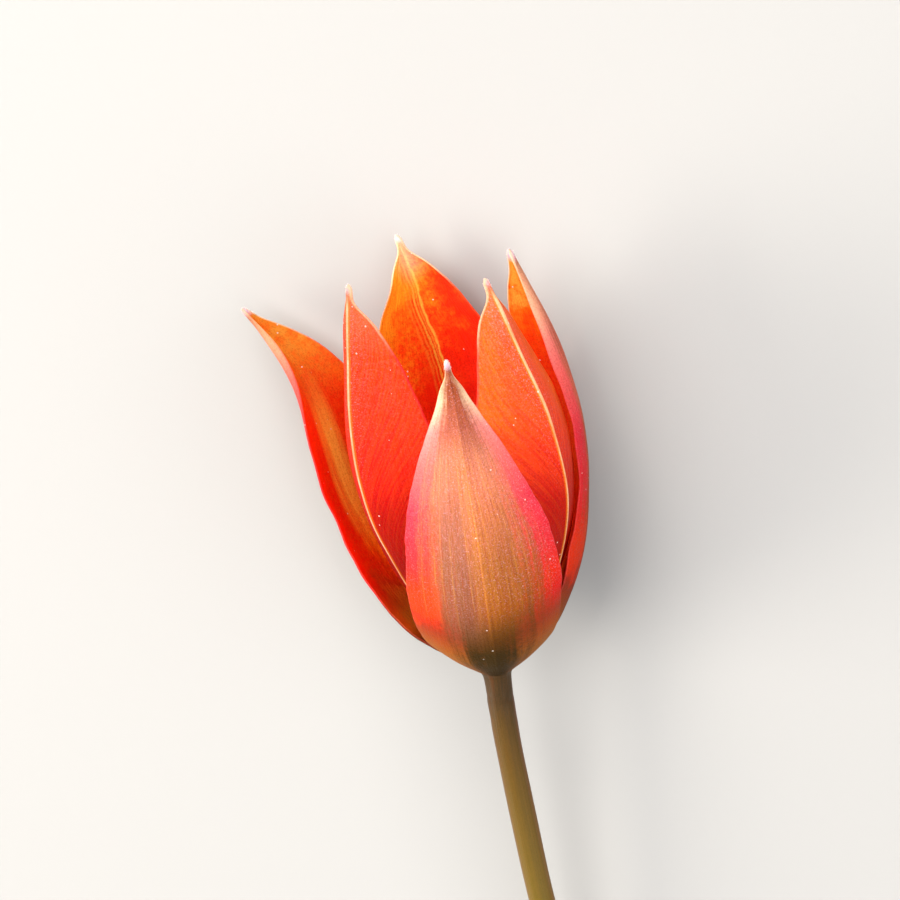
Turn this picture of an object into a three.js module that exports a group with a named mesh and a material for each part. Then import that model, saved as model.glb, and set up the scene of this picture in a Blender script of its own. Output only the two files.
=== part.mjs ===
import * as THREE from 'three';

// One cut flower of a wild orange-red tulip, laid on its side.
// Millimetres, +Z up, with the surface that it lies on at Z 0. +Y runs from the cut end
// of the stem to the mouth of the flower, and the origin is under the middle of its box.

// Driving dimensions of the tepals
const TEPAL_THICKNESS = 0.6;
const OUTER_HALF_WIDTH = 8.7;
const INNER_HALF_WIDTH = 10.2;
const OUTER_BASE = { out: 2.5, up: 0.2 };
const INNER_BASE = { out: 2.5, up: 1.6 };
const LENGTHWISE_STEPS = 22;
const CROSSWISE_STEPS = 10;

// Driving dimensions of the stem, whose top swells into the seat of the flower
const STEM_RADIUS = 1.4;
const STEM_FOOT_RADIUS = 1.55;
const SEAT_RADIUS = 2.0;
const SEAT_TOP = 1.8;
const NECK_DEPTH = 4.5;
const STEM_SIDES = 12;
const CUT_SLANT = 0.25;

// Driving dimensions of the six stamens and the pistil
const STAMEN_COUNT = 6;
const FILAMENT_RADIUS = 0.5;
const FILAMENT_LENGTH = 8.6;
const ANTHER_LENGTH = 7.2;
const ANTHER_HALF_WIDTH = 0.95;
const ANTHER_HALF_DEPTH = 0.7;
const OVARY_RADIUS = 1.55;
const OVARY_LENGTH = 9.6;
const STIGMA_RADIUS = 1.75;
const STIGMA_HEIGHT = 1.6;
const JOIN_GAP = 0.3;

// How the flower lies: its base, its rise above the surface and its turn about its own axis
const FLOWER_BASE = new THREE.Vector3(6.35, 21.05, 10.0);
const FLOWER_RISE = THREE.MathUtils.degToRad(5.5);
const FLOWER_TURN = THREE.MathUtils.degToRad(14);

// Centre line of the stem from its cut end to the flower, measured from the flower's base
const STEM_LINE = [
  [8.2, -88, -8.56],
  [6.9, -74, -8.1],
  [5.1, -58, -6.6],
  [3.1, -42, -4.6],
  [1.3, -26, -2.65],
  [0.2, -10, -0.98],
];

// Half width of a tepal at seven even stations from base to tip, as a share of the widest
const OUTER_OUTLINE = [0.17, 0.82, 1.0, 0.965, 0.75, 0.4, 0.052];
const INNER_OUTLINE = [0.13, 0.51, 0.86, 1.0, 0.92, 0.55, 0.04];

// Each tepal at the same stations. Its rib runs out from the axis and up it, in millimetres, and
// may sway sideways. The halves fold at the rib by the keel, then curl inwards, in degrees; skew
// adds curl to the plus half and takes it off the minus half, twist turns both about the rib, and
// each half may be narrowed by a share of its width.
const TEPALS = {
  tepal_outer_top: {
    base: OUTER_BASE, outline: OUTER_OUTLINE, half: OUTER_HALF_WIDTH, around: -91, color: 0xd98a5c,
    out: [7.2, 11.2, 13.4, 14.4, 15.0, 15.6],
    up: [4.0, 10.6, 17.8, 25.4, 32.6, 39.6],
    sway: [0, 0.2, 0.2, 0.2, 0, 0, 0],
    keel: [0, 2, 4, 4, 4, 6, 6],
    curl: [40, 45, 42, 38, 34, 30, 15],
    narrowPlus: [0, 0, 0, 0.03, 0.1, 0.1, 0],
  },
  tepal_outer_left: {
    base: OUTER_BASE, outline: OUTER_OUTLINE, half: OUTER_HALF_WIDTH, around: 143, color: 0xe85a1c,
    out: [7.5, 12.0, 16.1, 18.1, 20.9, 26.5],
    up: [4.0, 9.6, 16.6, 24.4, 31.9, 37.7],
    keel: [0, 2, 4, 6, 8, 12, 16],
    curl: [40, 48, 46, 42, 40, 40, 40],
    skew: [0, 0, 0, 4, 4, 4, 0],
    narrowPlus: [0, 0, 0, -0.01, -0.06, -0.11, 0],
    narrowMinus: [0, 0, 0, -0.01, -0.06, -0.11, 0],
  },
  tepal_outer_right: {
    base: OUTER_BASE, outline: OUTER_OUTLINE, half: OUTER_HALF_WIDTH, around: 27, color: 0xe2603c,
    out: [6.6, 10.6, 12.9, 13.3, 11.3, 8.0],
    up: [4.4, 11.2, 19.2, 27.4, 35.8, 44.3],
    keel: [0, 2, 4, 8, 12, 18, 24],
    curl: [40, 45, 42, 38, 34, 38, 30],
    skew: [0, 0, 0, -4, -8, -4, 0],
    narrowPlus: [0, 0, 0.02, 0.12, 0.17, -0.04, 0],
  },
  tepal_inner_left: {
    base: INNER_BASE, outline: INNER_OUTLINE, half: INNER_HALF_WIDTH, around: -150, color: 0xe64a26,
    out: [5.8, 9.4, 12.2, 12.9, 12.0, 10.8],
    up: [6.8, 13.6, 21.6, 29.8, 38.0, 45.8],
    keel: [0, 2, 8, 16, 22, 26, 20],
    curl: [40, 45, 40, 30, 22, 20, 20],
  },
  tepal_inner_right: {
    base: INNER_BASE, outline: INNER_OUTLINE, half: INNER_HALF_WIDTH, around: -33, color: 0xe8502a,
    out: [5.9, 9.1, 11.2, 10.4, 7.8, 5.0],
    up: [6.6, 12.8, 20.4, 28.2, 36.0, 43.6],
    keel: [0, 2, 8, 16, 20, 26, 30],
    curl: [40, 45, 40, 30, 24, 22, 20],
    twist: [0, 0, 0, -4, -10, -14, -16],
    narrowPlus: [0, 0, 0, 0.08, 0.13, 0.05, 0],
    narrowMinus: [0, 0, 0, 0, 0.04, 0.18, 0],
  },
  tepal_inner_under: {
    base: INNER_BASE, outline: INNER_OUTLINE, half: INNER_HALF_WIDTH, around: 90, color: 0xee5a18,
    out: [6.0, 10.0, 12.2, 13.1, 12.6, 11.6],
    up: [6.6, 13.2, 21.0, 29.2, 37.2, 45.1],
    sway: [0, 0, 0, 0.3, 1.2, 2.8, 4.1],
    keel: [0, 2, 6, 8, 8, 8, 6],
    curl: [40, 45, 42, 40, 36, 30, 15],
    narrowPlus: [0, 0, 0, 0, 0.02, 0.24, 0],
    narrowMinus: [0, 0, 0.02, 0.12, 0.13, 0.06, 0],
  },
};

const STEM_COLOR = 0x8d7048;
const FILAMENT_COLOR = 0x3b321c;
const ANTHER_COLOR = 0x6b5a22;
const OVARY_COLOR = 0x7d8f45;
const STIGMA_COLOR = 0xb9b062;

// The flower is built standing on its own axis and laid down by its group
const flower = new THREE.Group();
flower.position.copy(FLOWER_BASE);
flower.rotation.set(FLOWER_RISE - Math.PI / 2, 0, FLOWER_TURN, 'XYZ');
flower.updateMatrixWorld(true);
const UPWARD = new THREE.Vector3(0, 0, 1).applyQuaternion(flower.quaternion.clone().invert());
const FLOWER_AXIS = new THREE.Vector3(0, 0, 1).applyQuaternion(flower.quaternion);

function finish(name, geometry, color, roughness) {
  const material = new THREE.MeshStandardMaterial({ color, roughness, metalness: 0 });
  geometry.computeVertexNormals();
  const mesh = new THREE.Mesh(geometry, material);
  mesh.name = name;
  return mesh;
}

function solid(points, triangles) {
  const geometry = new THREE.BufferGeometry().setFromPoints(points);
  geometry.setIndex(triangles.flat());
  return geometry;
}

// A smooth curve through values at even stations, read at t from 0 to 1
function along(values, t) {
  const last = values.length - 1;
  const place = THREE.MathUtils.clamp(t, 0, 1) * last;
  const i = Math.min(Math.floor(place), last - 1);
  const f = place - i;
  const before = i > 0 ? values[i - 1] : 2 * values[0] - values[1];
  const after = i + 2 <= last ? values[i + 2] : 2 * values[last] - values[last - 1];
  const [a, b] = [values[i], values[i + 1]];
  return 0.5 * (2 * a + (b - before) * f + (2 * before - 5 * a + 4 * b - after) * f * f
    + (3 * a - before - 3 * b + after) * f * f * f);
}

const NONE = [0, 0];
const bend = (values, t) => THREE.MathUtils.degToRad(along(values, t));

// The rib of a tepal: a curve in the plane of the flower's axis, with a little sway
function ribPoint(tepal, t) {
  const angle = THREE.MathUtils.degToRad(tepal.around);
  const out = along([tepal.base.out, ...tepal.out], t);
  const sway = along(tepal.sway ?? NONE, t);
  return new THREE.Vector3(
    out * Math.cos(angle) - sway * Math.sin(angle),
    out * Math.sin(angle) + sway * Math.cos(angle),
    along([tepal.base.up, ...tepal.up], t),
  );
}

// A point of the tepal's middle surface: q is -1 and 1 at its margins and 0 on its rib.
// Each half leaves the rib at the keel angle and bends evenly inwards by the curl.
function bladePoint(tepal, t, q) {
  const step = 0.002;
  const rib = ribPoint(tepal, t);
  const tangent = ribPoint(tepal, Math.min(t + step, 1)).sub(ribPoint(tepal, Math.max(t - step, 0)));
  tangent.normalize();
  const angle = THREE.MathUtils.degToRad(tepal.around);
  const round = new THREE.Vector3(-Math.sin(angle), Math.cos(angle), 0);
  const outward = round.clone().cross(tangent).normalize();
  const side = tangent.clone().cross(outward);
  const twist = bend(tepal.twist ?? NONE, t);
  const sideways = side.clone().multiplyScalar(Math.cos(twist)).addScaledVector(outward, -Math.sin(twist));
  const away = outward.multiplyScalar(Math.cos(twist)).addScaledVector(side, Math.sin(twist));

  const sign = Math.sign(q);
  const narrowing = along((sign > 0 ? tepal.narrowPlus : tepal.narrowMinus) ?? NONE, t);
  const half = tepal.half * along(tepal.outline, t) * (1 - narrowing);
  const keel = bend(tepal.keel, t);
  const curl = bend(tepal.curl, t) + sign * bend(tepal.skew ?? NONE, t);
  const reach = keel + curl * Math.abs(q);
  const across = half * (Math.sin(reach) - Math.sin(keel)) / curl;
  const inward = half * (Math.cos(keel) - Math.cos(reach)) / curl;
  return rib.addScaledVector(sideways, sign * across).addScaledVector(away, -inward);
}

function bladeNormal(tepal, t, q) {
  const step = 0.004;
  const low = Math.max(q - step, -1);
  const high = Math.min(q + step, 1);
  const across = bladePoint(tepal, t, high).sub(bladePoint(tepal, t, low));
  const lengthwise = bladePoint(tepal, Math.min(t + step, 1), q).sub(bladePoint(tepal, Math.max(t - step, 0), q));
  return across.cross(lengthwise).normalize();
}

const heightOf = (point) => point.dot(UPWARD) + FLOWER_BASE.z;

// A tepal: the middle surface given its thickness, with both faces split alike.
// Where it would pass below the surface it lies on, it is pressed flat there.
function tepalGeometry(tepal) {
  const outer = [];
  const inner = [];
  for (let i = 0; i <= LENGTHWISE_STEPS; i++) {
    for (let j = 0; j <= CROSSWISE_STEPS; j++) {
      const t = i / LENGTHWISE_STEPS;
      const q = 2 * j / CROSSWISE_STEPS - 1;
      const middle = bladePoint(tepal, t, q);
      const normal = bladeNormal(tepal, t, q);
      const skin = middle.clone().addScaledVector(normal, TEPAL_THICKNESS / 2);
      const lining = middle.clone().addScaledVector(normal, -TEPAL_THICKNESS / 2);
      const lift = Math.max(0, -heightOf(skin), -heightOf(lining));
      outer.push(skin.addScaledVector(UPWARD, lift));
      inner.push(lining.addScaledVector(UPWARD, lift));
    }
  }
  const row = CROSSWISE_STEPS + 1;
  const count = outer.length;
  const triangles = [];
  for (let i = 0; i < LENGTHWISE_STEPS; i++) {
    for (let j = 0; j < CROSSWISE_STEPS; j++) {
      const [a, b, c, d] = [i * row + j, i * row + j + 1, (i + 1) * row + j + 1, (i + 1) * row + j];
      triangles.push([a, b, c], [a, c, d]);
      triangles.push([count + a, count + c, count + b], [count + a, count + d, count + c]);
    }
    const [left, leftNext] = [i * row, (i + 1) * row];
    const [right, rightNext] = [left + CROSSWISE_STEPS, leftNext + CROSSWISE_STEPS];
    triangles.push([left, leftNext, count + leftNext], [left, count + leftNext, count + left]);
    triangles.push([right, count + rightNext, rightNext], [right, count + right, count + rightNext]);
  }
  for (let j = 0; j < CROSSWISE_STEPS; j++) {
    const tip = LENGTHWISE_STEPS * row + j;
    triangles.push([j, count + j + 1, j + 1], [j, count + j, count + j + 1]);
    triangles.push([tip, tip + 1, count + tip + 1], [tip, count + tip + 1, count + tip]);
  }
  return solid([...outer, ...inner], triangles);
}

// A closed body through rings of points, with a middle point at each end.
// The points of a ring run anticlockwise seen from the far end.
function ringedBody(rings, start, end) {
  const sides = rings[0].length;
  const triangles = [];
  for (let i = 0; i + 1 < rings.length; i++) {
    for (let k = 0; k < sides; k++) {
      const [a, b] = [i * sides + k, i * sides + (k + 1) % sides];
      triangles.push([a, b, b + sides], [a, b + sides, a + sides]);
    }
  }
  const first = rings.length * sides;
  const top = (rings.length - 1) * sides;
  for (let k = 0; k < sides; k++) {
    const next = (k + 1) % sides;
    triangles.push([first, next, k], [first + 1, top + k, top + next]);
  }
  return solid([...rings.flat(), start, end], triangles);
}

// A ring of points about a centre, square to a direction, at a radius given by the angle
function ring(centre, direction, across, sides, radiusAt) {
  const second = direction.clone().cross(across).normalize();
  const first = second.clone().cross(direction).normalize();
  return Array.from({ length: sides }, (_, k) => {
    const angle = (k + 0.5) / sides * 2 * Math.PI;
    const radius = radiusAt(angle);
    return centre.clone()
      .addScaledVector(first, radius * Math.cos(angle))
      .addScaledVector(second, radius * Math.sin(angle));
  });
}

// Stem and seat of the flower
function stemGeometry() {
  const line = new THREE.CatmullRomCurve3([
    ...STEM_LINE.map((point) => new THREE.Vector3(...point).add(FLOWER_BASE)),
    FLOWER_BASE.clone().addScaledVector(FLOWER_AXIS, -NECK_DEPTH),
    FLOWER_BASE.clone().addScaledVector(FLOWER_AXIS, -NECK_DEPTH / 2),
  ], false, 'centripetal');
  const steps = 34;
  const sideways = new THREE.Vector3(1, 0, 0);
  const rings = [];
  for (let i = 0; i <= steps; i++) {
    const t = i / steps;
    const radius = THREE.MathUtils.lerp(STEM_FOOT_RADIUS, STEM_RADIUS, Math.min(1, t * 2));
    const direction = line.getTangentAt(t);
    rings.push(ring(line.getPointAt(t), direction, sideways, STEM_SIDES, () => radius));
  }
  const slant = line.getTangentAt(0);
  rings[0].forEach((point, k) => {
    point.addScaledVector(slant, -CUT_SLANT * Math.cos((k + 0.5) / STEM_SIDES * 2 * Math.PI));
  });
  const seat = [[-1.2, 1.5], [-0.45, 1.72], [0.1, SEAT_RADIUS], [SEAT_TOP - 0.25, SEAT_RADIUS], [SEAT_TOP, 1.7]];
  for (const [up, radius] of seat) {
    const centre = FLOWER_BASE.clone().addScaledVector(FLOWER_AXIS, up);
    rings.push(ring(centre, FLOWER_AXIS, sideways, STEM_SIDES, () => radius));
  }
  rings.flat().forEach((point) => {
    point.z = Math.max(point.z, 0);
  });
  return ringedBody(rings, line.getPointAt(0), FLOWER_BASE.clone().addScaledVector(FLOWER_AXIS, SEAT_TOP));
}

// Stamens: each leans out a little, and the six differ slightly in length and lean
function stamen(index) {
  const angle = (index + 0.5) / STAMEN_COUNT * 2 * Math.PI + 0.08 * Math.sin(2.3 * index);
  const radial = new THREE.Vector3(Math.cos(angle), Math.sin(angle), 0);
  const round = new THREE.Vector3(-Math.sin(angle), Math.cos(angle), 0);
  const length = FILAMENT_LENGTH * (1 + 0.05 * Math.sin(1.7 * index + 0.6));
  const lean = 1.5 + 0.35 * Math.cos(2.9 * index);
  const foot = SEAT_TOP + JOIN_GAP;
  const at = (s) => radial.clone().multiplyScalar(1.75 + lean * Math.sin(s * Math.PI / 2))
    .add(new THREE.Vector3(0, 0, foot + length * s));
  const direction = (s) => at(s + 0.01).sub(at(s - 0.01)).normalize();
  return { at, direction, round };
}

function filamentGeometry(index) {
  const { at, direction, round } = stamen(index);
  const profile = [[0, 0.8], [0.12, 1.0], [0.35, 0.92], [0.6, 0.78], [0.85, 0.64], [1, 0.6]];
  const rings = profile.map(([s, share]) => ring(at(s), s > 0 ? direction(s) : new THREE.Vector3(0, 0, 1),
    round, 8, () => FILAMENT_RADIUS * share));
  return ringedBody(rings, at(0), at(1));
}

function antherGeometry(index) {
  const { at, direction, round } = stamen(index);
  const upward = direction(1);
  const foot = at(1).addScaledVector(upward, JOIN_GAP);
  const lobes = (angle) => {
    const across = Math.cos(angle) / ANTHER_HALF_WIDTH;
    const deep = Math.sin(angle) / ANTHER_HALF_DEPTH;
    return (1 - 0.18 * Math.sin(angle) ** 4) / Math.hypot(across, deep);
  };
  const profile = [[0, 0.45], [0.06, 0.75], [0.2, 0.96], [0.45, 1.0], [0.7, 0.92], [0.9, 0.66], [1, 0.34]];
  const rings = profile.map(([s, share]) => ring(foot.clone().addScaledVector(upward, s * ANTHER_LENGTH),
    upward, round, 12, (angle) => share * lobes(angle)));
  return ringedBody(rings, foot, foot.clone().addScaledVector(upward, ANTHER_LENGTH));
}

// Pistil: a three-sided ovary under a small three-lobed stigma
const AXIS = new THREE.Vector3(0, 0, 1);
const ACROSS = new THREE.Vector3(1, 0, 0);

function uprightBody(foot, height, radius, profile, sides, lobing) {
  const centre = (s) => new THREE.Vector3(0, 0, foot + height * s);
  const rings = profile.map(([s, share]) => ring(centre(s), AXIS, ACROSS, sides,
    (angle) => radius * share * (1 + lobing * Math.cos(3 * angle))));
  return ringedBody(rings, centre(profile[0][0]), centre(profile.at(-1)[0]));
}

function ovaryGeometry() {
  const profile = [[0, 0.5], [0.1, 0.72], [0.3, 0.95], [0.55, 1.0], [0.8, 0.88], [0.94, 0.72], [1, 0.6]];
  return uprightBody(SEAT_TOP + JOIN_GAP, OVARY_LENGTH, OVARY_RADIUS, profile, 18, 0.1);
}

function stigmaGeometry() {
  const profile = [[0, 0.5], [0.25, 0.82], [0.55, 1.0], [0.8, 0.9], [1, 0.5]];
  return uprightBody(SEAT_TOP + OVARY_LENGTH + 2 * JOIN_GAP, STIGMA_HEIGHT, STIGMA_RADIUS, profile, 18, 0.28);
}

const tulip = new THREE.Group();
tulip.add(flower);
tulip.add(finish('stem', stemGeometry(), STEM_COLOR, 0.55));
for (const [name, tepal] of Object.entries(TEPALS)) {
  flower.add(finish(name, tepalGeometry(tepal), tepal.color, 0.45));
}
for (let index = 0; index < STAMEN_COUNT; index++) {
  flower.add(finish(`filament_${index + 1}`, filamentGeometry(index), FILAMENT_COLOR, 0.6));
  flower.add(finish(`anther_${index + 1}`, antherGeometry(index), ANTHER_COLOR, 0.85));
}
flower.add(finish('ovary', ovaryGeometry(), OVARY_COLOR, 0.5));
flower.add(finish('stigma', stigmaGeometry(), STIGMA_COLOR, 0.7));

export default tulip;
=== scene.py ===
import math
import random

import bmesh
import bpy
from mathutils import Matrix, Vector, noise


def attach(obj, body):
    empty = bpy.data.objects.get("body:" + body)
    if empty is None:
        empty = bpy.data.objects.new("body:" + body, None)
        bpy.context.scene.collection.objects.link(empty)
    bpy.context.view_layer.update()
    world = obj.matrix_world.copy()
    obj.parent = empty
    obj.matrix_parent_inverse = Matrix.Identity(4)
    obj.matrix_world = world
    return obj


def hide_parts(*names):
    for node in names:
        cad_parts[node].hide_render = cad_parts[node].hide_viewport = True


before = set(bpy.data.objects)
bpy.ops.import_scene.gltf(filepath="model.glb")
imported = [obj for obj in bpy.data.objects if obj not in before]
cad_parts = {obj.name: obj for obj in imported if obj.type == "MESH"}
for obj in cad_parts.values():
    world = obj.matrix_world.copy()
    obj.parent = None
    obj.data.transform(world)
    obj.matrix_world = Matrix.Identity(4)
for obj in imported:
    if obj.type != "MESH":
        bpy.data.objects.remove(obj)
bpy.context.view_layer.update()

# One cut flower of a wild orange-red tulip, lying on its side on a pale floor.
# Lengths are in millimetres until a mesh is finished, and metres from then on.
# The flower is described standing on its own axis, with its base at zero, and laid down by LAY_DOWN.
MM = 0.001
MERGE_DISTANCE = 0.0004

# How the flower lies, as in the part
FLOWER_BASE = Vector((6.35, 21.05, 10.0))
FLOWER_RISE = math.radians(5.5)
FLOWER_TURN = math.radians(14)
LAY_DOWN = (
    Matrix.Translation(FLOWER_BASE)
    @ Matrix.Rotation(FLOWER_RISE - math.pi / 2, 4, "X")
    @ Matrix.Rotation(FLOWER_TURN, 4, "Z")
)
FLOWER_AXIS = (LAY_DOWN.to_3x3() @ Vector((0, 0, 1))).normalized()

# The view of the photograph, in the flower's own frame
VIEW_ELEVATION = math.radians(20)
VIEW_ROLL = math.radians(8)
VIEW_DISTANCE = 400.0
VIEW_HEIGHT = 22.0
VIEW_SHIFT = (-2.02, 2.48)
PIXELS_PER_MM = 9.7
PICTURE_PIXELS = 900
SENSOR = 36.0
NEAREST_SEEN = 0.01

# Tepals: the same stations and driving dimensions as the solids, with a thinner blade
OUTER_HALF_WIDTH = 8.7
INNER_HALF_WIDTH = 10.2
OUTER_BASE = (2.5, 0.2)
INNER_BASE = (2.5, 1.6)
OUTER_OUTLINE = [0.17, 0.82, 1.0, 0.965, 0.75, 0.4, 0.03]
INNER_OUTLINE = [0.13, 0.51, 0.86, 1.0, 0.92, 0.55, 0.022]
LEAST_HALF_WIDTH = 0.17
RIB_HALF_THICKNESS = 0.2
MARGIN_HALF_THICKNESS = 0.1
NUB_HALF_THICKNESS = 0.24
MARGIN_ROUNDING = 0.14
NUB_LENGTH = 0.45
BEAK_PLACE = 0.968
BEAK_SPREAD = 0.03
ROOT_SHARE = 0.07
ROOT_DEPTH = 1.15
ROOT_DROP = 0.5
ROLL_FROM = 0.6
FACE_STEPS = 72
LENGTH_STEPS = 170
TIP_CROWDING = 1.6
COLUMN_EVENNESS = 0.2
RIB_PROBE = 0.002

# Relief of a blade. Rates are how fast its noise changes along it, across it and between tepals.
RIDGE_WIDTH = 0.14
GROOVE_DEPTH = 0.07
GROOVE_WIDTH = 0.4
VEIN_HEIGHT = 0.018
VEIN_TURNS = 19
SWELL = 0.16
SWELL_RATES = (7, 2.2, 3.7)
RIPPLE = 0.2
RIPPLE_RATES = (16, 0.6, 1.9)
WAVER = 0.012
WAVER_RATES = (38, 3.1, 1)

# Where a blade's forms set in or fade, as shares of its length or of a half's width
FOOT_OPENS = (0.0, 0.03)
RIB_STARTS = (0.04, 0.16)
SWELL_STARTS = (0.05, 0.2)
RIPPLE_STARTS = (0.1, 0.3)
RIB_ENDS = (0.93, 0.985)
SWELL_ENDS = (0.93, 1.0)
NUB_SWELLS = (0.955, 0.99)
BLADE_THINS = (0.2, 1.0)
VEINS_END = (0.7, 0.98)

# Each tepal's lists are read at even stations from its foot to its tip, and its angles are in degrees.
# around: its place round the flower. out, up, sway: its rib's distance from the axis, height and drift.
# keel: how steeply each half leaves the rib. curl: how far it bends inwards. skew: the plus half's extra.
# twist: how far the blade turns about its rib. narrow, roll, soft: how slim a half is, how its margin
# rolls, and its rounding over the rib. beaks: how much the plus and minus halves draw in below the nub.
# lets_through: the share of light that passes, and wishes: what the colouring is told, each for the
# back and for the face. half: the greatest half width. ridge: how high the rib stands on the back.
# Some wishes set painted light: the glow along the rib of an outer tepal's face, and the sun glow towards
# the margins of an inner tepal's back.
OUTER = {
    "base": OUTER_BASE, "outline": OUTER_OUTLINE, "half": OUTER_HALF_WIDTH, "ridge": 0.03,
    "slot": "tepal_outer",
}
INNER = {
    "base": INNER_BASE, "outline": INNER_OUTLINE, "half": INNER_HALF_WIDTH, "ridge": 0.08,
    "slot": "tepal_inner",
}
TEPALS = {
    "tepal_outer_top": {
        **OUTER, "around": -91,
        "out": [7.2, 11.2, 13.4, 14.4, 15.0, 15.6],
        "up": [4.0, 10.6, 17.8, 25.4, 32.7, 39.95],
        "sway": [0, 0.2, 0.2, 0.2, 0, -0.2, -0.55],
        "keel": [0, 2, 4, 4, 4, 6, 6],
        "curl": [40, 45, 42, 38, 34, 30, 15],
        "narrow_plus": [0, 0, 0, 0, 0, 0.01, 0.03, 0.06, 0.1, 0.11, 0.19, 0.3, 0.1],
        "narrow_minus": [0, -0.06, -0.08, -0.06, -0.03, -0.01, 0, 0, 0, 0.02, 0.08, 0.24, 0.1],
        "beaks": (0.52, 0.52), "lets_through": (0.34, 0.45),
        "wishes": ({"pallor": 0.0}, {"painted_glow_band": 0.6, "smudge": 0.1, "brightness": 0.2}),
    },
    "tepal_outer_left": {
        **OUTER, "around": 143,
        "out": [7.5, 12.0, 16.1, 18.1, 20.9, 26.7],
        "up": [4.0, 9.6, 16.6, 24.4, 31.9, 38.1],
        "keel": [0, 2, 4, 6, 8, 12, 16],
        "curl": [40, 46, 41, 36, 34, 38, 40],
        "skew": [0, 0, -1, -2, -3, 0, 0],
        "narrow_plus": [0, -0.03, -0.05, -0.04, 0.02, 0.15, 0.25, 0.12, 0.05, 0.02, -0.2, -0.3, 0],
        "narrow_minus": [0, 0, 0, -0.01, -0.08, -0.2, 0],
        "roll_plus": [0, 0, 0, 0, 0, 0, 0, 0, 3, 12, 42, 60, 60],
        "beaks": (0.1, 0.2), "lets_through": (0.78, 0.45),
        "wishes": ({"pallor": 0.62}, {"painted_glow_band": 1.0, "smudge": 0.65, "brightness": 0.5}),
    },
    "tepal_outer_right": {
        **OUTER, "around": 27,
        "out": [6.6, 10.6, 12.9, 13.3, 11.3, 8.0],
        "up": [4.4, 11.2, 19.2, 27.4, 35.8, 44.3],
        "keel": [0, 2, 4, 8, 12, 18, 24],
        "curl": [40, 50, 48, 40, 34, 38, 30],
        "skew": [0, -6, -8, -6, -8, -4, 0],
        "narrow_plus": [0, 0, 0, 0.01, 0.02, 0.07, 0.12, 0.155, 0.15, 0, -0.24, -0.38, -0.25],
        "narrow_minus": [0, -0.12, -0.26, -0.3, -0.24, -0.12, -0.02, 0, 0, 0, 0, 0, 0],
        "roll_minus": [0, 0, 0, 0, 10, 20, 20],
        "beaks": (0.2, 0.1), "lets_through": (0.55, 0.42),
        "wishes": ({"pallor": 0.55}, {"painted_glow_band": 0.1, "smudge": 0.0, "brightness": 0.7}),
    },
    "tepal_inner_left": {
        **INNER, "around": -150,
        "out": [5.8, 9.4, 12.2, 12.9, 12.0, 10.8],
        "up": [6.8, 13.6, 21.6, 29.8, 38.0, 45.8],
        "keel": [0, 2, 8, 16, 22, 26, 20],
        "curl": [40, 45, 40, 30, 22, 20, 20],
        "soft_minus": 1.3, "beaks": (0.6, 0.6), "lets_through": (0.61, 0.45),
        "wishes": ({"rib": 0.85, "rib_width": 0.13, "warmth_and_sun_glow": 0.2}, {}),
    },
    "tepal_inner_right": {
        **INNER, "around": -33,
        "out": [5.9, 9.1, 11.2, 10.4, 7.8, 5.0],
        "up": [6.6, 12.8, 20.4, 28.2, 36.0, 43.6],
        "keel": [0, 2, 8, 16, 20, 26, 30],
        "curl": [40, 45, 40, 30, 24, 22, 20],
        "twist": [0, 0, 0, -4, -10, -14, -16],
        "narrow_plus": [0, 0, 0, 0.08, 0.13, 0.05, 0],
        "narrow_minus": [0, 0, 0, 0, 0.04, 0.18, 0],
        "beaks": (0.56, 0.56), "lets_through": (0.28, 0.45),
        "wishes": ({"rib": 0.5, "rib_width": 0.085, "warmth_and_sun_glow": 0.88}, {}),
    },
    "tepal_inner_under": {
        **INNER, "around": 90,
        "out": [6.0, 10.0, 12.2, 13.1, 12.6, 11.6],
        "up": [6.6, 13.2, 21.0, 29.2, 37.2, 45.1],
        "sway": [0, 0, 0, 0.3, 1.2, 2.8, 4.1],
        "keel": [0, 2, 6, 8, 8, 8, 6],
        "curl": [40, 45, 42, 40, 36, 30, 15],
        "narrow_plus": [0, 0, 0, 0, 0, -0.04, -0.09, -0.12, -0.09, 0.02, 0.2, 0.42, 0.2],
        "narrow_minus": [0, 0, 0.02, 0.12, 0.13, 0.06, 0],
        "ridge": 0.07, "beaks": (0.62, 0.5), "lets_through": (0.45, 0.25),
        "wishes": ({"rib": 0.8, "rib_width": 0.12, "warmth_and_sun_glow": 0.35}, {}),
    },
}

# Stem, from its cut end to the seat of the flower
STEM_RADIUS = 1.4
STEM_FOOT_RADIUS = 1.55
NECK_DEPTH = 4.5
SEAT_TOP = 1.8
CUT_SLANT = 0.25
CUT_DISH = 0.12
STEM_LINE = [
    (8.2, -88, -8.56), (6.9, -74, -8.1), (5.1, -58, -6.6), (3.1, -42, -4.6), (1.3, -26, -2.65),
    (0.2, -10, -0.98),
]
SEAT_RADII = [1.4, 1.42, 1.45, 1.54, 1.78, 1.94, 1.86, 1.35]
STEM_UNEVENNESS = 0.035
STEM_RIBS = 11
STEM_RIB_HEIGHT = 0.005
STEM_RIB_TWIST = 2
STEM_TURNS = 72
CUT_ROWS = 12
SHAFT_ROWS = 230
SEAT_ROWS = 44
STEM_PROBE = 0.004

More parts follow.
